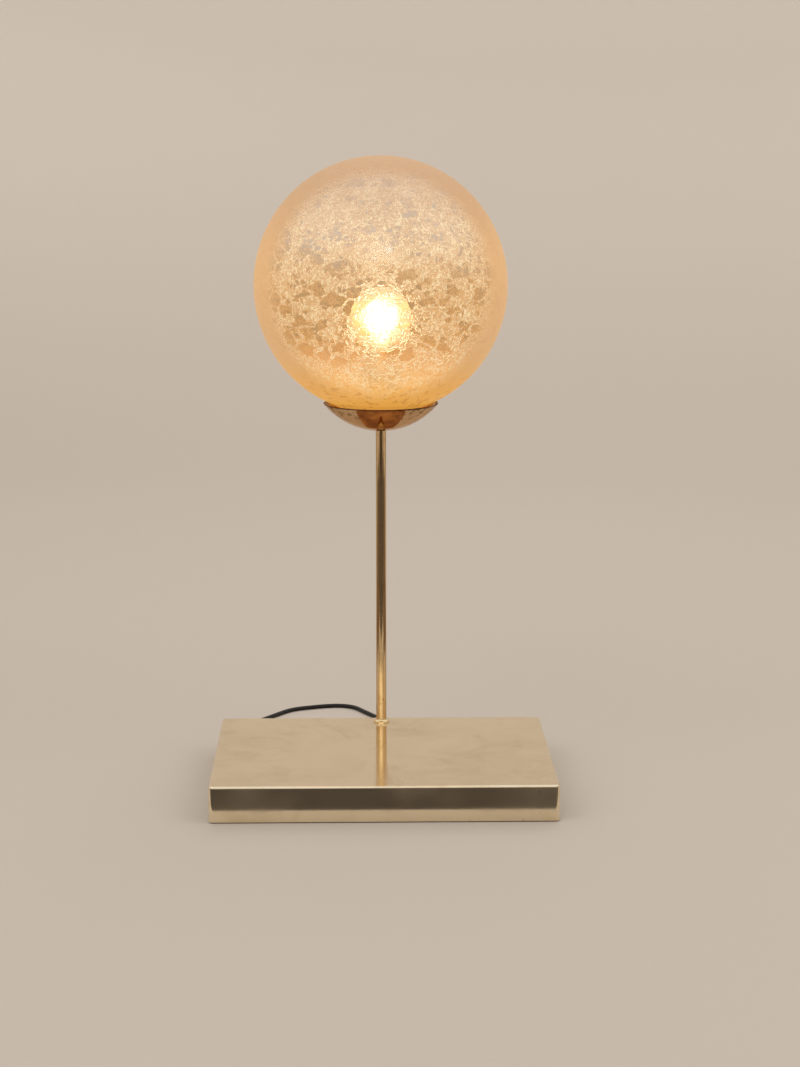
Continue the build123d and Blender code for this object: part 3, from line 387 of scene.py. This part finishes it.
def addSky(setup):
    world = bpy.data.worlds.new("room")
    bpy.context.scene.world = world
    look = Finish(owner=world)
    sky = look.node("Background", None, {"Color": setup["colour"], "Strength": setup["strength"]})
    look.node("OutputWorld", None, {0: sky})


for name, setup in lightSetup.items():
    addBox(name, setup)
addSky(skySetup)

# Cards: dark, brown and bright boards that only reflections see. The flat ones lie between two opposite
# corners, and the brown ones under the bowl follow an outline of half widths and depths
cardSetup = {
    "front": ((-0.5, -0.1625, 0.0), (0.5, -0.1625, 0.026)),
    "strip": ((-1.7, -1.78, 0.30), (1.0, -1.78, 0.75)),
    "floor": [
        ((-1.8, -1.8, 0.004), (1.8, -0.40, 0.004)),
        ((-1.7, -1.8, 0.0), (1.7, -1.8, 0.25)),
    ],
    "side": [
        ((0.42, -0.40, 0.004), (1.8, 0.45, 0.004)),
        ((-1.8, -0.40, 0.004), (-0.42, 0.45, 0.004)),
    ],
    "bowl": [(0.17, -0.02), (0.165, 0.13), (0.111, 0.25), (0.080, 0.36), (0.060, 0.50)],
    "bowlHeight": 0.04,
    "frontTones": [(0.055, 0.045, 0.038), (0.135, 0.113, 0.096)],
    "stripTones": [(1.05, 1.03, 0.98), (1.15, 1.12, 1.06)],
    "floorTones": [(0.030, 0.017, 0.010), (0.072, 0.042, 0.025)],
    "sideTones": [(0.10, 0.052, 0.026), (0.17, 0.092, 0.048)],
    "bowlTones": [(0.225, 0.080, 0.017), (0.40, 0.172, 0.042)],
    "body": (0.02, 0.02, 0.02),
    "rough": 0.9,
    "strength": 1.0,
    "patch": {"scale": 9, "detail": 2, "limits": (0.42, 0.68)},
    "louvre": (0.74, 0.64),
}


def flatBoard(low, high):
    (x0, y0, z0), (x1, y1, z1) = low, high
    return [(x0, y0, z0), (x1, y0, z0), (x1, y1, z1), (x0, y1, z1)]


def boardRow(outline, height):
    rows = [[(-half, y, height), (half, y, height)] for half, y in outline]
    return [near + far[::-1] for near, far in zip(rows, rows[1:])]


# A louvred card shows only from well above it
def addCard(name, corners, tones, setup, louvred=False):
    look = Finish(name)
    shader = look.principled(
        Base_Color=setup["body"],
        Roughness=setup["rough"],
        Emission_Color=look.blend(look.patches(**setup["patch"]), *tones),
        Emission_Strength=setup["strength"],
    )
    if louvred:
        above = 1 - look.node("NewGeometry", out="Backfacing")
        steep = look.fade(look.turned(), *setup["louvre"])
        shader = look.layer(above * steep, look.node("BsdfTransparent"), shader)
    mesh = bpy.data.meshes.new(name)
    mesh.from_pydata(corners, [], [(0, 1, 2, 3)])
    mesh.materials.append(look.show(shader))
    card = bpy.data.objects.new(name, mesh)
    bpy.context.scene.collection.objects.link(card)
    card.visible_camera = False
    card.visible_diffuse = False
    card.visible_shadow = False
    card.visible_transmission = False


addCard("frontCard", flatBoard(*cardSetup["front"]), cardSetup["frontTones"], cardSetup)
addCard("stripCard", flatBoard(*cardSetup["strip"]), cardSetup["stripTones"], cardSetup)
for i, span in enumerate(cardSetup["floor"]):
    addCard(f"floorCard{i}", flatBoard(*span), cardSetup["floorTones"], cardSetup)
for i, corners in enumerate(boardRow(cardSetup["bowl"], cardSetup["bowlHeight"])):
    addCard(f"bowlCard{i}", corners, cardSetup["bowlTones"], cardSetup, louvred=True)
for i, span in enumerate(cardSetup["side"]):
    addCard(f"sideCard{i}", flatBoard(*span), cardSetup["sideTones"], cardSetup)
print("stage and light set")


# Sheet and tube: polished brass with faint smudges, spots of tarnish and small pits
brassSetup = {
    "plate": {
        "bright": (0.925, 0.800, 0.590), "warm": (0.78, 0.64, 0.43), "edge": (1, 1, 1),
        "spots": 0.35, "rough": 0.07, "stretch": (1, 1, 1),
    },
    # The stem's dark brown edge tint darkens its reflections toward its sides: painted shade
    "stem": {
        "bright": (0.87, 0.665, 0.385), "warm": (0.74, 0.50, 0.24), "edge": (0.36, 0.19, 0.08),
        "spots": 0.4, "rough": 0.04, "stretch": (1, 1, 0.02),
    },
    # The collar's paler brass is a painted highlight, standing in for bright reflections
    "collar": {
        "bright": (0.96, 0.82, 0.54), "warm": (0.86, 0.66, 0.38), "edge": (1, 1, 1),
        "spots": 0.3, "rough": 0.05, "stretch": (0.1, 0.1, 1),
    },
    "tarnish": (0.20, 0.115, 0.055),
    "smudge": {"scale": 13, "detail": 5, "rough": 0.62, "twist": 0.7, "limits": (0.40, 0.72)},
    "smear": {"scale": 17, "detail": 7, "rough": 0.68, "twist": 1.2, "limits": (0.50, 0.68)},
    "wipe": {"scale": 60, "rough": 0.6, "stretch": (0.25, 1, 1)},
    "dull": {"scale": 30, "rough": 0.6, "limits": (0.5, 0.72)},
    "speckle": {"scale": 240, "detail": 2, "rough": 0.5, "limits": (0.66, 0.76)},
    "pitted": {"scale": 48, "detail": 1, "limits": (0.52, 0.60)},
    "pitScale": 330,
    "pitRim": (0.09, 0.04),
    "grain": {"scale": 900, "detail": 2, "rough": 0.5},
    "smudgeTint": 0.45,
    "smearTint": 1.1,
    "pitStain": 0.45,
    "smudgeRough": 0.09,
    "wipeRough": 0.04,
    "stainRough": 0.2,
    "pitDepth": 0.7,
    "relief": {"strength": 0.03, "distance": 0.0003},
}


def brassFinish(name, kind, setup):
    look = Finish(name)
    smudge = look.patches(**setup["smudge"])
    wipe = look.noise(**setup["wipe"])
    smear = look.patches(**setup["smear"]) * wipe
    speckle = look.patches(**setup["speckle"]) * look.patches(**setup["dull"]) * kind["spots"]
    pits = look.fade(look.cells(setup["pitScale"], look.place()), *setup["pitRim"])
    pits = pits * look.patches(**setup["pitted"])
    grain = look.noise(stretch=kind["stretch"], **setup["grain"])
    stain = look.clamp(speckle + pits * setup["pitStain"])
    worn = smudge * setup["smudgeTint"] + smear * setup["smearTint"]
    haze = smudge * setup["smudgeRough"] + wipe * setup["wipeRough"] + stain * setup["stainRough"]
    return look.show(look.principled(
        Base_Color=look.blend(stain, look.blend(worn, kind["bright"], kind["warm"]), setup["tarnish"]),
        Metallic=1.0,
        Roughness=kind["rough"] + haze,
        Normal=look.bump(grain - pits * setup["pitDepth"], **setup["relief"]),
        Specular_Tint=kind["edge"],
    ))


wear("base_cover", brassFinish("plateBrass", brassSetup["plate"], brassSetup))
wear("stem_tube", brassFinish("stemBrass", brassSetup["stem"], brassSetup))
wear("stem_collar", brassFinish("collarBrass", brassSetup["collar"], brassSetup))

# Bowl: spun and polished brass of a redder tone, dark at the rim's edge and blotched below it
bowlSetup = {
    "bright": (0.73, 0.495, 0.285),
    "worn": (0.57, 0.36, 0.185),
    "blotch": (0.11, 0.055, 0.026),
    "grazing": (0.84, 0.70, 0.58),
    "blotRise": (0.3425, 0.3620),
    "edgeRise": (0.3598, 0.3614),
    "cloud": {"scale": 36, "detail": 5, "rough": 0.6, "twist": 0.5, "limits": (0.36, 0.68)},
    "blot": {"scale": 190, "detail": 5, "rough": 0.65, "limits": (0.50, 0.58)},
    "blotGroup": {"scale": 24, "detail": 2, "limits": (0.40, 0.56)},
    "fleck": {"scale": 420, "detail": 2, "limits": (0.66, 0.74)},
    "dents": {"scale": 300, "detail": 3},
    "ringPhase": 9000,  # radians per metre
    "ringHeight": 0.15,
    "stainDepth": 0.5,
    "blotStain": 0.85,
    "fleckStain": 0.6,
    "rimDarkening": 0.8,
    "rough": 0.05,
    "cloudRough": 0.05,
    "stainRough": 0.22,
    "relief": {"strength": 0.02, "distance": 0.0003},
}


def bowlFinish(setup):
    look = Finish("bowlBrass")
    height = look.along("Z")
    cloud = look.patches(**setup["cloud"])
    blot = look.patches(**setup["blot"]) * look.fade(height, *setup["blotRise"])
    blot = blot * look.patches(**setup["blotGroup"])
    fleck = look.patches(**setup["fleck"])
    edge = look.fade(height, *setup["edgeRise"])
    stain = blot * setup["blotStain"] + fleck * setup["fleckStain"] + edge * setup["rimDarkening"]
    stain = look.clamp(stain)
    rings = look.sine(height * setup["ringPhase"]) * setup["ringHeight"]
    surface = rings + look.noise(**setup["dents"]) - stain * setup["stainDepth"]
    return look.show(look.principled(
        Base_Color=look.blend(stain, look.blend(cloud, setup["bright"], setup["worn"]), setup["blotch"]),
        Metallic=1.0,
        Roughness=setup["rough"] + cloud * setup["cloudRough"] + stain * setup["stainRough"],
        Normal=look.bump(surface, **setup["relief"]),
        Specular_Tint=setup["grazing"],
    ))


wear("cup", bowlFinish(bowlSetup))
print("brass polished")


# Globe: champagne glass with crushed glass melted over it, and clear windows left between; crust and
# outline glow with painted light for the bulb's light scattered in the glass. Rises run from -1 at the
# globe's foot to 1 at its crown
globeSetup = {
    "centre": (0.0, 0.1065, 0.47793),
    "half": (0.125, 0.125, 0.1265),
    "outerFace": (0.984, 0.992),
    "windowRises": [(-0.55, -0.05), (0.85, 0.45)],
    "lowRise": (-0.36, -0.74),
    "wormRises": [(-0.88, -0.40, 0.35), (0.88, 0.42, 0.30)],
    "peachRise": (-0.95, -0.40),
    "crownRise": (0.15, 0.9),
    "lowSpotRise": (-0.60, -0.82),
    "clearRise": (-0.1, 0.45),
    "clearLowAndGlow": (0.885, 0.735, 0.525),
    "clearHigh": (0.985, 0.955, 0.925),
    "amber": (1.0, 0.49, 0.08),
    "peach": (0.85, 0.505, 0.232),
    "crown": (0.62, 0.372, 0.196),
    "lowSpotTone": (0.62, 0.27, 0.045),
    "paintedGlintTone": (1.0, 0.84, 0.53),
    "bodyShade": (0.46, 0.46, 0.46),
    "squash": (1, 1, 1.35),
    "sway": {"Scale": 75, "Detail": 2},
    "swayReach": (0.009, 0.009, 0.009),
    "windows": [{"scale": 60, "picked": (0.80, 0.82)}, {"scale": 145, "picked": (0.88, 0.90)}],
    "windowSeam": (0.08, 0.12),
    "bandPick": 0.22,
    "lowFill": 0.7,
    "worm": {"scale": 230, "detail": 1.5, "rough": 0.5, "twist": 0.5},
    "wormMiddle": 0.5,
    "wormWidth": (0.062, 0.012),
    "grain": {"scale": 900, "detail": 2},
    "spot": {"scale": 150, "detail": 3, "limits": (0.54, 0.64)},
    "spotTint": 0.6,
    "cloud": {"scale": 55, "detail": 3, "limits": (0.35, 0.7)},
    "paintedCloudGlint": 0.2,
    "paintedWormGlint": 0.75,
    "wormHeight": 0.8,
    "grainHeight": 0.25,
    "relief": {"strength": 0.35, "distance": 0.0011},
    "clearRough": 0.015,
    "fritRough": 0.10,
    "frost": {"scale": 700, "detail": 1, "limits": (0.4, 0.65)},
    "frostRough": 0.30,
    "ior": 1.45,
    "crustRough": 0.22,
    "crustFritRough": 0.16,
    "crustPaintedGlow": 0.78,
    "crustSpecular": 0.5,
    "edgeRough": 0.45,
    "edgeCloudRough": 0.1,
    "edgePaintedGlow": 0.51,
    "edgeSpecular": 0.15,
    "cover": 0.07,
    "fritCover": 0.32,
    "wormCover": 0.26,
    "lowCover": 0.50,
    "limb": (0.32, 0.62),
    "limbCover": 0.94,
}


def globeFinish(setup):
    look = Finish("globeGlass")
    local = look.node("VectorMath", {"operation": "SUBTRACT"}, {0: look.place(), 1: setup["centre"]})
    unit = look.node("VectorMath", {"operation": "DIVIDE"}, {0: local, 1: setup["half"]})
    radial = look.node("VectorMath", {"operation": "LENGTH"}, {0: unit}, out="Value")
    outer = look.fade(radial, *setup["outerFace"])
    rise = look.node("SeparateXYZ", None, {0: unit}, out="Z")
    low = look.fade(rise, *setup["lowRise"])

    # Clear windows: some of the swayed cells, in two sizes, most of them round the middle
    bandLow, bandHigh = setup["windowRises"]
    band = look.fade(rise, *bandLow) * look.fade(rise, *bandHigh)
    flat = look.place(setup["squash"])
    sway = look.node("TexNoise", None, {"Vector": flat, **setup["sway"]}, out="Color")
    sockets = {0: sway, 1: setup["swayReach"], 2: flat}
    where = look.node("VectorMath", {"operation": "MULTIPLY_ADD"}, sockets)
    windows = 0
    for kind in setup["windows"]:
        seam = look.cells(kind["scale"], where, "DISTANCE_TO_EDGE")
        pick = look.node("SeparateColor", None, {0: look.cells(kind["scale"], where, out="Color")})
        picked = look.fade(pick + band * setup["bandPick"], *kind["picked"])
        windows = windows + look.fade(seam, *setup["windowSeam"]) * picked
    frit = 1 - look.clamp(windows) * (1 - low * setup["lowFill"])

    # Worm-like ridges in the crushed glass, weaker near foot and crown
    wormLow, wormHigh = setup["wormRises"]
    lively = look.fade(rise, *wormLow) * look.fade(rise, *wormHigh)
    ripple = look.noise(**setup["worm"]) - setup["wormMiddle"]
    ripple = look.node("Math", {"operation": "ABSOLUTE"}, {0: ripple})
    worm = look.fade(ripple, *setup["wormWidth"]) * frit * lively
    relief = worm * setup["wormHeight"] + look.noise(**setup["grain"]) * setup["grainHeight"] * frit
    normal = look.bump(relief * outer, **setup["relief"])

    # Crust colour and painted glow of the bulb's light: amber at the foot, peach round the middle, browner
    # and dimmer at the crown, with darker red-brown spots low down
    tone = look.blend(look.fade(rise, *setup["peachRise"]), setup["amber"], setup["peach"])
    tone = look.blend(look.fade(rise, *setup["crownRise"]), tone, setup["crown"])
    spot = look.patches(**setup["spot"]) * look.fade(rise, *setup["lowSpotRise"])
    tone = look.blend(spot * setup["spotTint"], tone, setup["lowSpotTone"])
    # Painted glints: pale cream emission on the clouds and the worm ridges, in place of the bulb's light
    # glinting in the crushed glass
    cloud = look.patches(**setup["cloud"])
    paintedGlints = cloud * setup["paintedCloudGlint"] + worm * setup["paintedWormGlint"]
    toneAndGlints = look.blend(paintedGlints, tone, setup["paintedGlintTone"])

    frost = setup["fritRough"] + look.patches(**setup["frost"]) * setup["frostRough"]
    # Clear glass tint: amber low down, the amber partly painted glow of the bulb's light, and paler up high
    glass = look.principled(
        Base_Color=look.blend(look.fade(rise, *setup["clearRise"]), setup["clearLowAndGlow"], setup["clearHigh"]),
        Roughness=setup["clearRough"] + frit * outer * frost,
        IOR=setup["ior"],
        Transmission_Weight=1.0,
        Normal=normal,
    )
    # The crust's emission is painted glow, in place of the bulb's light scattered in the crushed glass
    crust = look.principled(
        Base_Color=look.blend(1.0, toneAndGlints, setup["bodyShade"], "MULTIPLY"),
        Roughness=setup["crustRough"] + frit * setup["crustFritRough"],
        Normal=normal,
        Emission_Color=toneAndGlints,
        Emission_Strength=setup["crustPaintedGlow"],
        Specular_IOR_Level=setup["crustSpecular"],
    )
    # The outline's emission is painted glow as well
    edge = look.principled(
        Base_Color=look.blend(1.0, tone, setup["bodyShade"], "MULTIPLY"),
        Roughness=setup["edgeRough"] + cloud * setup["edgeCloudRough"],
        Emission_Color=tone,
        Emission_Strength=setup["edgePaintedGlow"],
        Specular_IOR_Level=setup["edgeSpecular"],
    )
    cover = setup["cover"] + frit * setup["fritCover"] + worm * setup["wormCover"] + low * setup["lowCover"]
    limb = look.fade(look.turned(), *setup["limb"]) * outer
    face = look.layer(cover * outer, glass, crust)
    return look.show(look.layer(limb * setup["limbCover"], face, edge))


wear("globe", globeFinish(globeSetup))

# Bulb: frosted glass, hottest at its middle and dimmer at its rim and down its neck
bulbSetup = {
    "neckRise": (0.4130, 0.4367),
    "topRise": (0.4807, 0.4567, 0.4),
    "dim": (0.085, 0.050, 0.018),
    "hot": {"tone": (1.0, 0.93, 0.78), "strength": 10.0},
    "rim": {"tone": (1.0, 0.78, 0.39), "strength": 1.05},
    "limb": (0.0, 0.25),
    "glass": (0.92, 0.89, 0.82),
    "frost": {"scale": 900, "detail": 2},
    "heatShare": 0.9,
    "frostHeat": 0.1,
    "rough": 0.4,
    "frostRough": 0.2,
}


def bulbFinish(setup):
    look = Finish("bulbFrost")
    frost = look.noise(**setup["frost"])
    height = look.along("Z")
    heat = look.fade(height, *setup["neckRise"]) * look.fade(height, *setup["topRise"])
    heat = heat * (setup["heatShare"] + frost * setup["frostHeat"])
    layers = [
        look.principled(
            Base_Color=setup["glass"],
            Roughness=setup["rough"] + frost * setup["frostRough"],
            Emission_Color=look.blend(heat, setup["dim"], kind["tone"]),
            Emission_Strength=kind["strength"],
        )
        for kind in (setup["hot"], setup["rim"])
    ]
    return look.show(look.layer(look.fade(look.turned(), *setup["limb"]), *layers))


wear("bulb_glass", bulbFinish(bulbSetup))
print("globe and bulb lit")


# Plain finishes of the other pieces: two tones, metal, roughness, grain scale and grain height
plainSetup = {
    "turnedBrass": ((0.62, 0.44, 0.20), (0.76, 0.58, 0.31), 1.0, 0.26, 500, 0.10),
    "zincSteel": ((0.46, 0.46, 0.47), (0.60, 0.60, 0.61), 1.0, 0.32, 420, 0.12),
    "rolledSteel": ((0.10, 0.10, 0.105), (0.20, 0.19, 0.185), 0.9, 0.5, 120, 0.25),
    "blackLacquer": ((0.012, 0.012, 0.012), (0.03, 0.03, 0.03), 0.0, 0.42, 300, 0.15),
    "blackBead": ((0.01, 0.01, 0.012), (0.02, 0.02, 0.022), 0.0, 0.12, 200, 0.05),
    "solderGrey": ((0.36, 0.36, 0.37), (0.5, 0.5, 0.5), 0.9, 0.4, 600, 0.3),
    "whiteGlaze": ((0.80, 0.78, 0.72), (0.86, 0.84, 0.79), 0.0, 0.18, 90, 0.05),
    "holderBlack": ((0.014, 0.013, 0.012), (0.028, 0.026, 0.024), 0.0, 0.3, 700, 0.1),
    "ringRubber": ((0.045, 0.036, 0.028), (0.08, 0.066, 0.05), 0.0, 0.7, 500, 0.3),
    "coreBrown": ((0.11, 0.045, 0.018), (0.15, 0.065, 0.028), 0.0, 0.4, 600, 0.08),
    "clampNylon": ((0.60, 0.58, 0.53), (0.68, 0.66, 0.60), 0.0, 0.45, 400, 0.15),
    "tieBlack": ((0.012, 0.012, 0.012), (0.03, 0.03, 0.03), 0.0, 0.55, 900, 0.35),
    "switchBlack": ((0.012, 0.0115, 0.011), (0.026, 0.025, 0.024), 0.0, 0.36, 1300, 0.22),
    "nickelPlate": ((0.62, 0.59, 0.54), (0.72, 0.69, 0.64), 1.0, 0.2, 500, 0.06),
    "clearRod": ((0.85, 0.87, 0.85), (0.92, 0.93, 0.92), 0.0, 0.1, 200, 0.04),
}
wornBy = {
    "turnedBrass": [
        "foot_nipple", "foot_nut", "cup_nipple", "cup_nut", "cover_posts", "holder_terminals",
        "holder_contact", "switch_contacts",
    ],
    "zincSteel": [
        "foot_washer", "cup_washer", "bottom_screws", "ballast_screws", "clamp_screws", "switch_screws",
        "switch_pin", "bulb_leads",
    ],
    "rolledSteel": ["ballast_plate"],
    "blackLacquer": ["bottom_plate"],
    "blackBead": ["bulb_insulator"],
    "solderGrey": ["bulb_contact"],
    "whiteGlaze": ["holder_insert"],
    "holderBlack": ["holder_cap", "holder_sleeve"],
    "ringRubber": ["globe_seat"],
    "coreBrown": ["stem_wires"],
    "clampNylon": ["cord_clamp"],
    "tieBlack": ["coil_tie"],
    "switchBlack": [
        "switch_base", "switch_cover", "switch_rocker", "plug_body", "cord_grommet", "cord_inner",
    ],
    "nickelPlate": ["plug_pins"],
    "clearRod": ["bulb_stem"],
}
mottleSetup = {
    "grainsPerCloud": 12,
    "cloudLimits": (0.3, 0.7),
    "grainDetail": 3,
    "cloudTint": 0.7,
    "grainTint": 0.3,
    "smoother": 0.06,
    "cloudRough": 0.08,
    "grainRough": 0.06,
    "depth": 0.0004,
}


def plainFinish(name, first, second, metal, rough, grainScale, grainHeight, setup):
    look = Finish(name)
    cloud = look.patches(setup["cloudLimits"], scale=grainScale / setup["grainsPerCloud"])
    grain = look.noise(grainScale, setup["grainDetail"])
    haze = cloud * setup["cloudRough"] + grain * setup["grainRough"]
    return look.show(look.principled(
        Base_Color=look.blend(cloud * setup["cloudTint"] + grain * setup["grainTint"], first, second),
        Metallic=metal,
        Roughness=rough - setup["smoother"] + haze,
        Normal=look.bump(grain, grainHeight, setup["depth"]),
    ))


for name, values in plainSetup.items():
    material = plainFinish(name, *values, mottleSetup)
    for node in wornBy[name]:
        wear(node, material)


# Felt: short fibres lying every way
feltSetup = {
    "dark": (0.016, 0.022, 0.017),
    "pale": (0.055, 0.066, 0.052),
    "fibre": {"scale": 1400, "detail": 3},
    "fibreWays": [(1, 0.12, 1), (0.12, 1, 1)],
    "tuft": {"scale": 90},
    "wayShare": 0.5,
    "fibreTint": 0.8,
    "tuftTint": 0.2,
    "rough": 0.92,
    "tuftRough": 0.06,
    "relief": {"strength": 0.8, "distance": 0.0006},
    "sheen": 0.4,
}


def feltFinish(setup):
    look = Finish("baseFelt")
    across, along = [look.noise(stretch=way, **setup["fibre"]) for way in setup["fibreWays"]]
    fibre = across * setup["wayShare"] + along * setup["wayShare"]
    tuft = look.noise(**setup["tuft"])
    pale = fibre * setup["fibreTint"] + tuft * setup["tuftTint"]
    return look.show(look.principled(
        Base_Color=look.blend(pale, setup["dark"], setup["pale"]),
        Roughness=setup["rough"] + tuft * setup["tuftRough"],
        Normal=look.bump(fibre, **setup["relief"]),
        Sheen_Weight=setup["sheen"],
    ))


wear("base_felt", feltFinish(feltSetup))

# Screw threads of the bulb cap and of the lampholder's shell
threadSetup = {
    "axis": (0.0, 0.1065),
    "pitch": 0.003629,
    "finishes": {
        "bulb_cap": ("bulbCapMetal", (0.56, 0.56, 0.57), (0.72, 0.71, 0.70)),
        "holder_shell": ("shellBrass", (0.60, 0.42, 0.19), (0.76, 0.57, 0.30)),
    },
    "scuff": {"scale": 300},
    "tint": 0.2,
    "scuffTint": 0.6,
    "waveTint": 0.2,
    "rough": 0.24,
    "scuffRough": 0.16,
    "relief": {"strength": 0.7, "distance": 0.0009},
}


def threadFinish(name, first, second, setup):
    look = Finish(name)
    x = look.along("X") - setup["axis"][0]
    y = look.along("Y") - setup["axis"][1]
    turn = look.node("Math", {"operation": "ARCTAN2"}, {0: y, 1: x})
    wave = look.sine(look.along("Z") * (2 * math.pi / setup["pitch"]) - turn)
    scuff = look.noise(**setup["scuff"])
    bright = scuff * setup["scuffTint"] + wave * setup["waveTint"] + setup["tint"]
    return look.show(look.principled(
        Base_Color=look.blend(bright, first, second),
        Metallic=1.0,
        Roughness=setup["rough"] + scuff * setup["scuffRough"],
        Normal=look.bump(wave, **setup["relief"]),
    ))


for node, finish in threadSetup["finishes"].items():
    wear(node, threadFinish(*finish, threadSetup))


# Filament: hot tungsten
filamentSetup = {
    "wire": (0.3, 0.28, 0.26),
    "hot": (1.0, 0.62, 0.25),
    "hotter": (1.0, 0.75, 0.42),
    "strength": 20.0,
    "heat": {"scale": 300, "detail": 2, "limits": (0.3, 0.7)},
    "rough": 0.45,
    "heatRough": 0.1,
}


def filamentFinish(setup):
    look = Finish("litTungsten")
    heat = look.patches(**setup["heat"])
    return look.show(look.principled(
        Base_Color=setup["wire"],
        Roughness=setup["rough"] + heat * setup["heatRough"],
        Emission_Color=look.blend(heat, setup["hot"], setup["hotter"]),
        Emission_Strength=setup["strength"],
    ))


wear("bulb_filament", filamentFinish(filamentSetup))
print("finishes worn by", len(dressed), "nodes")
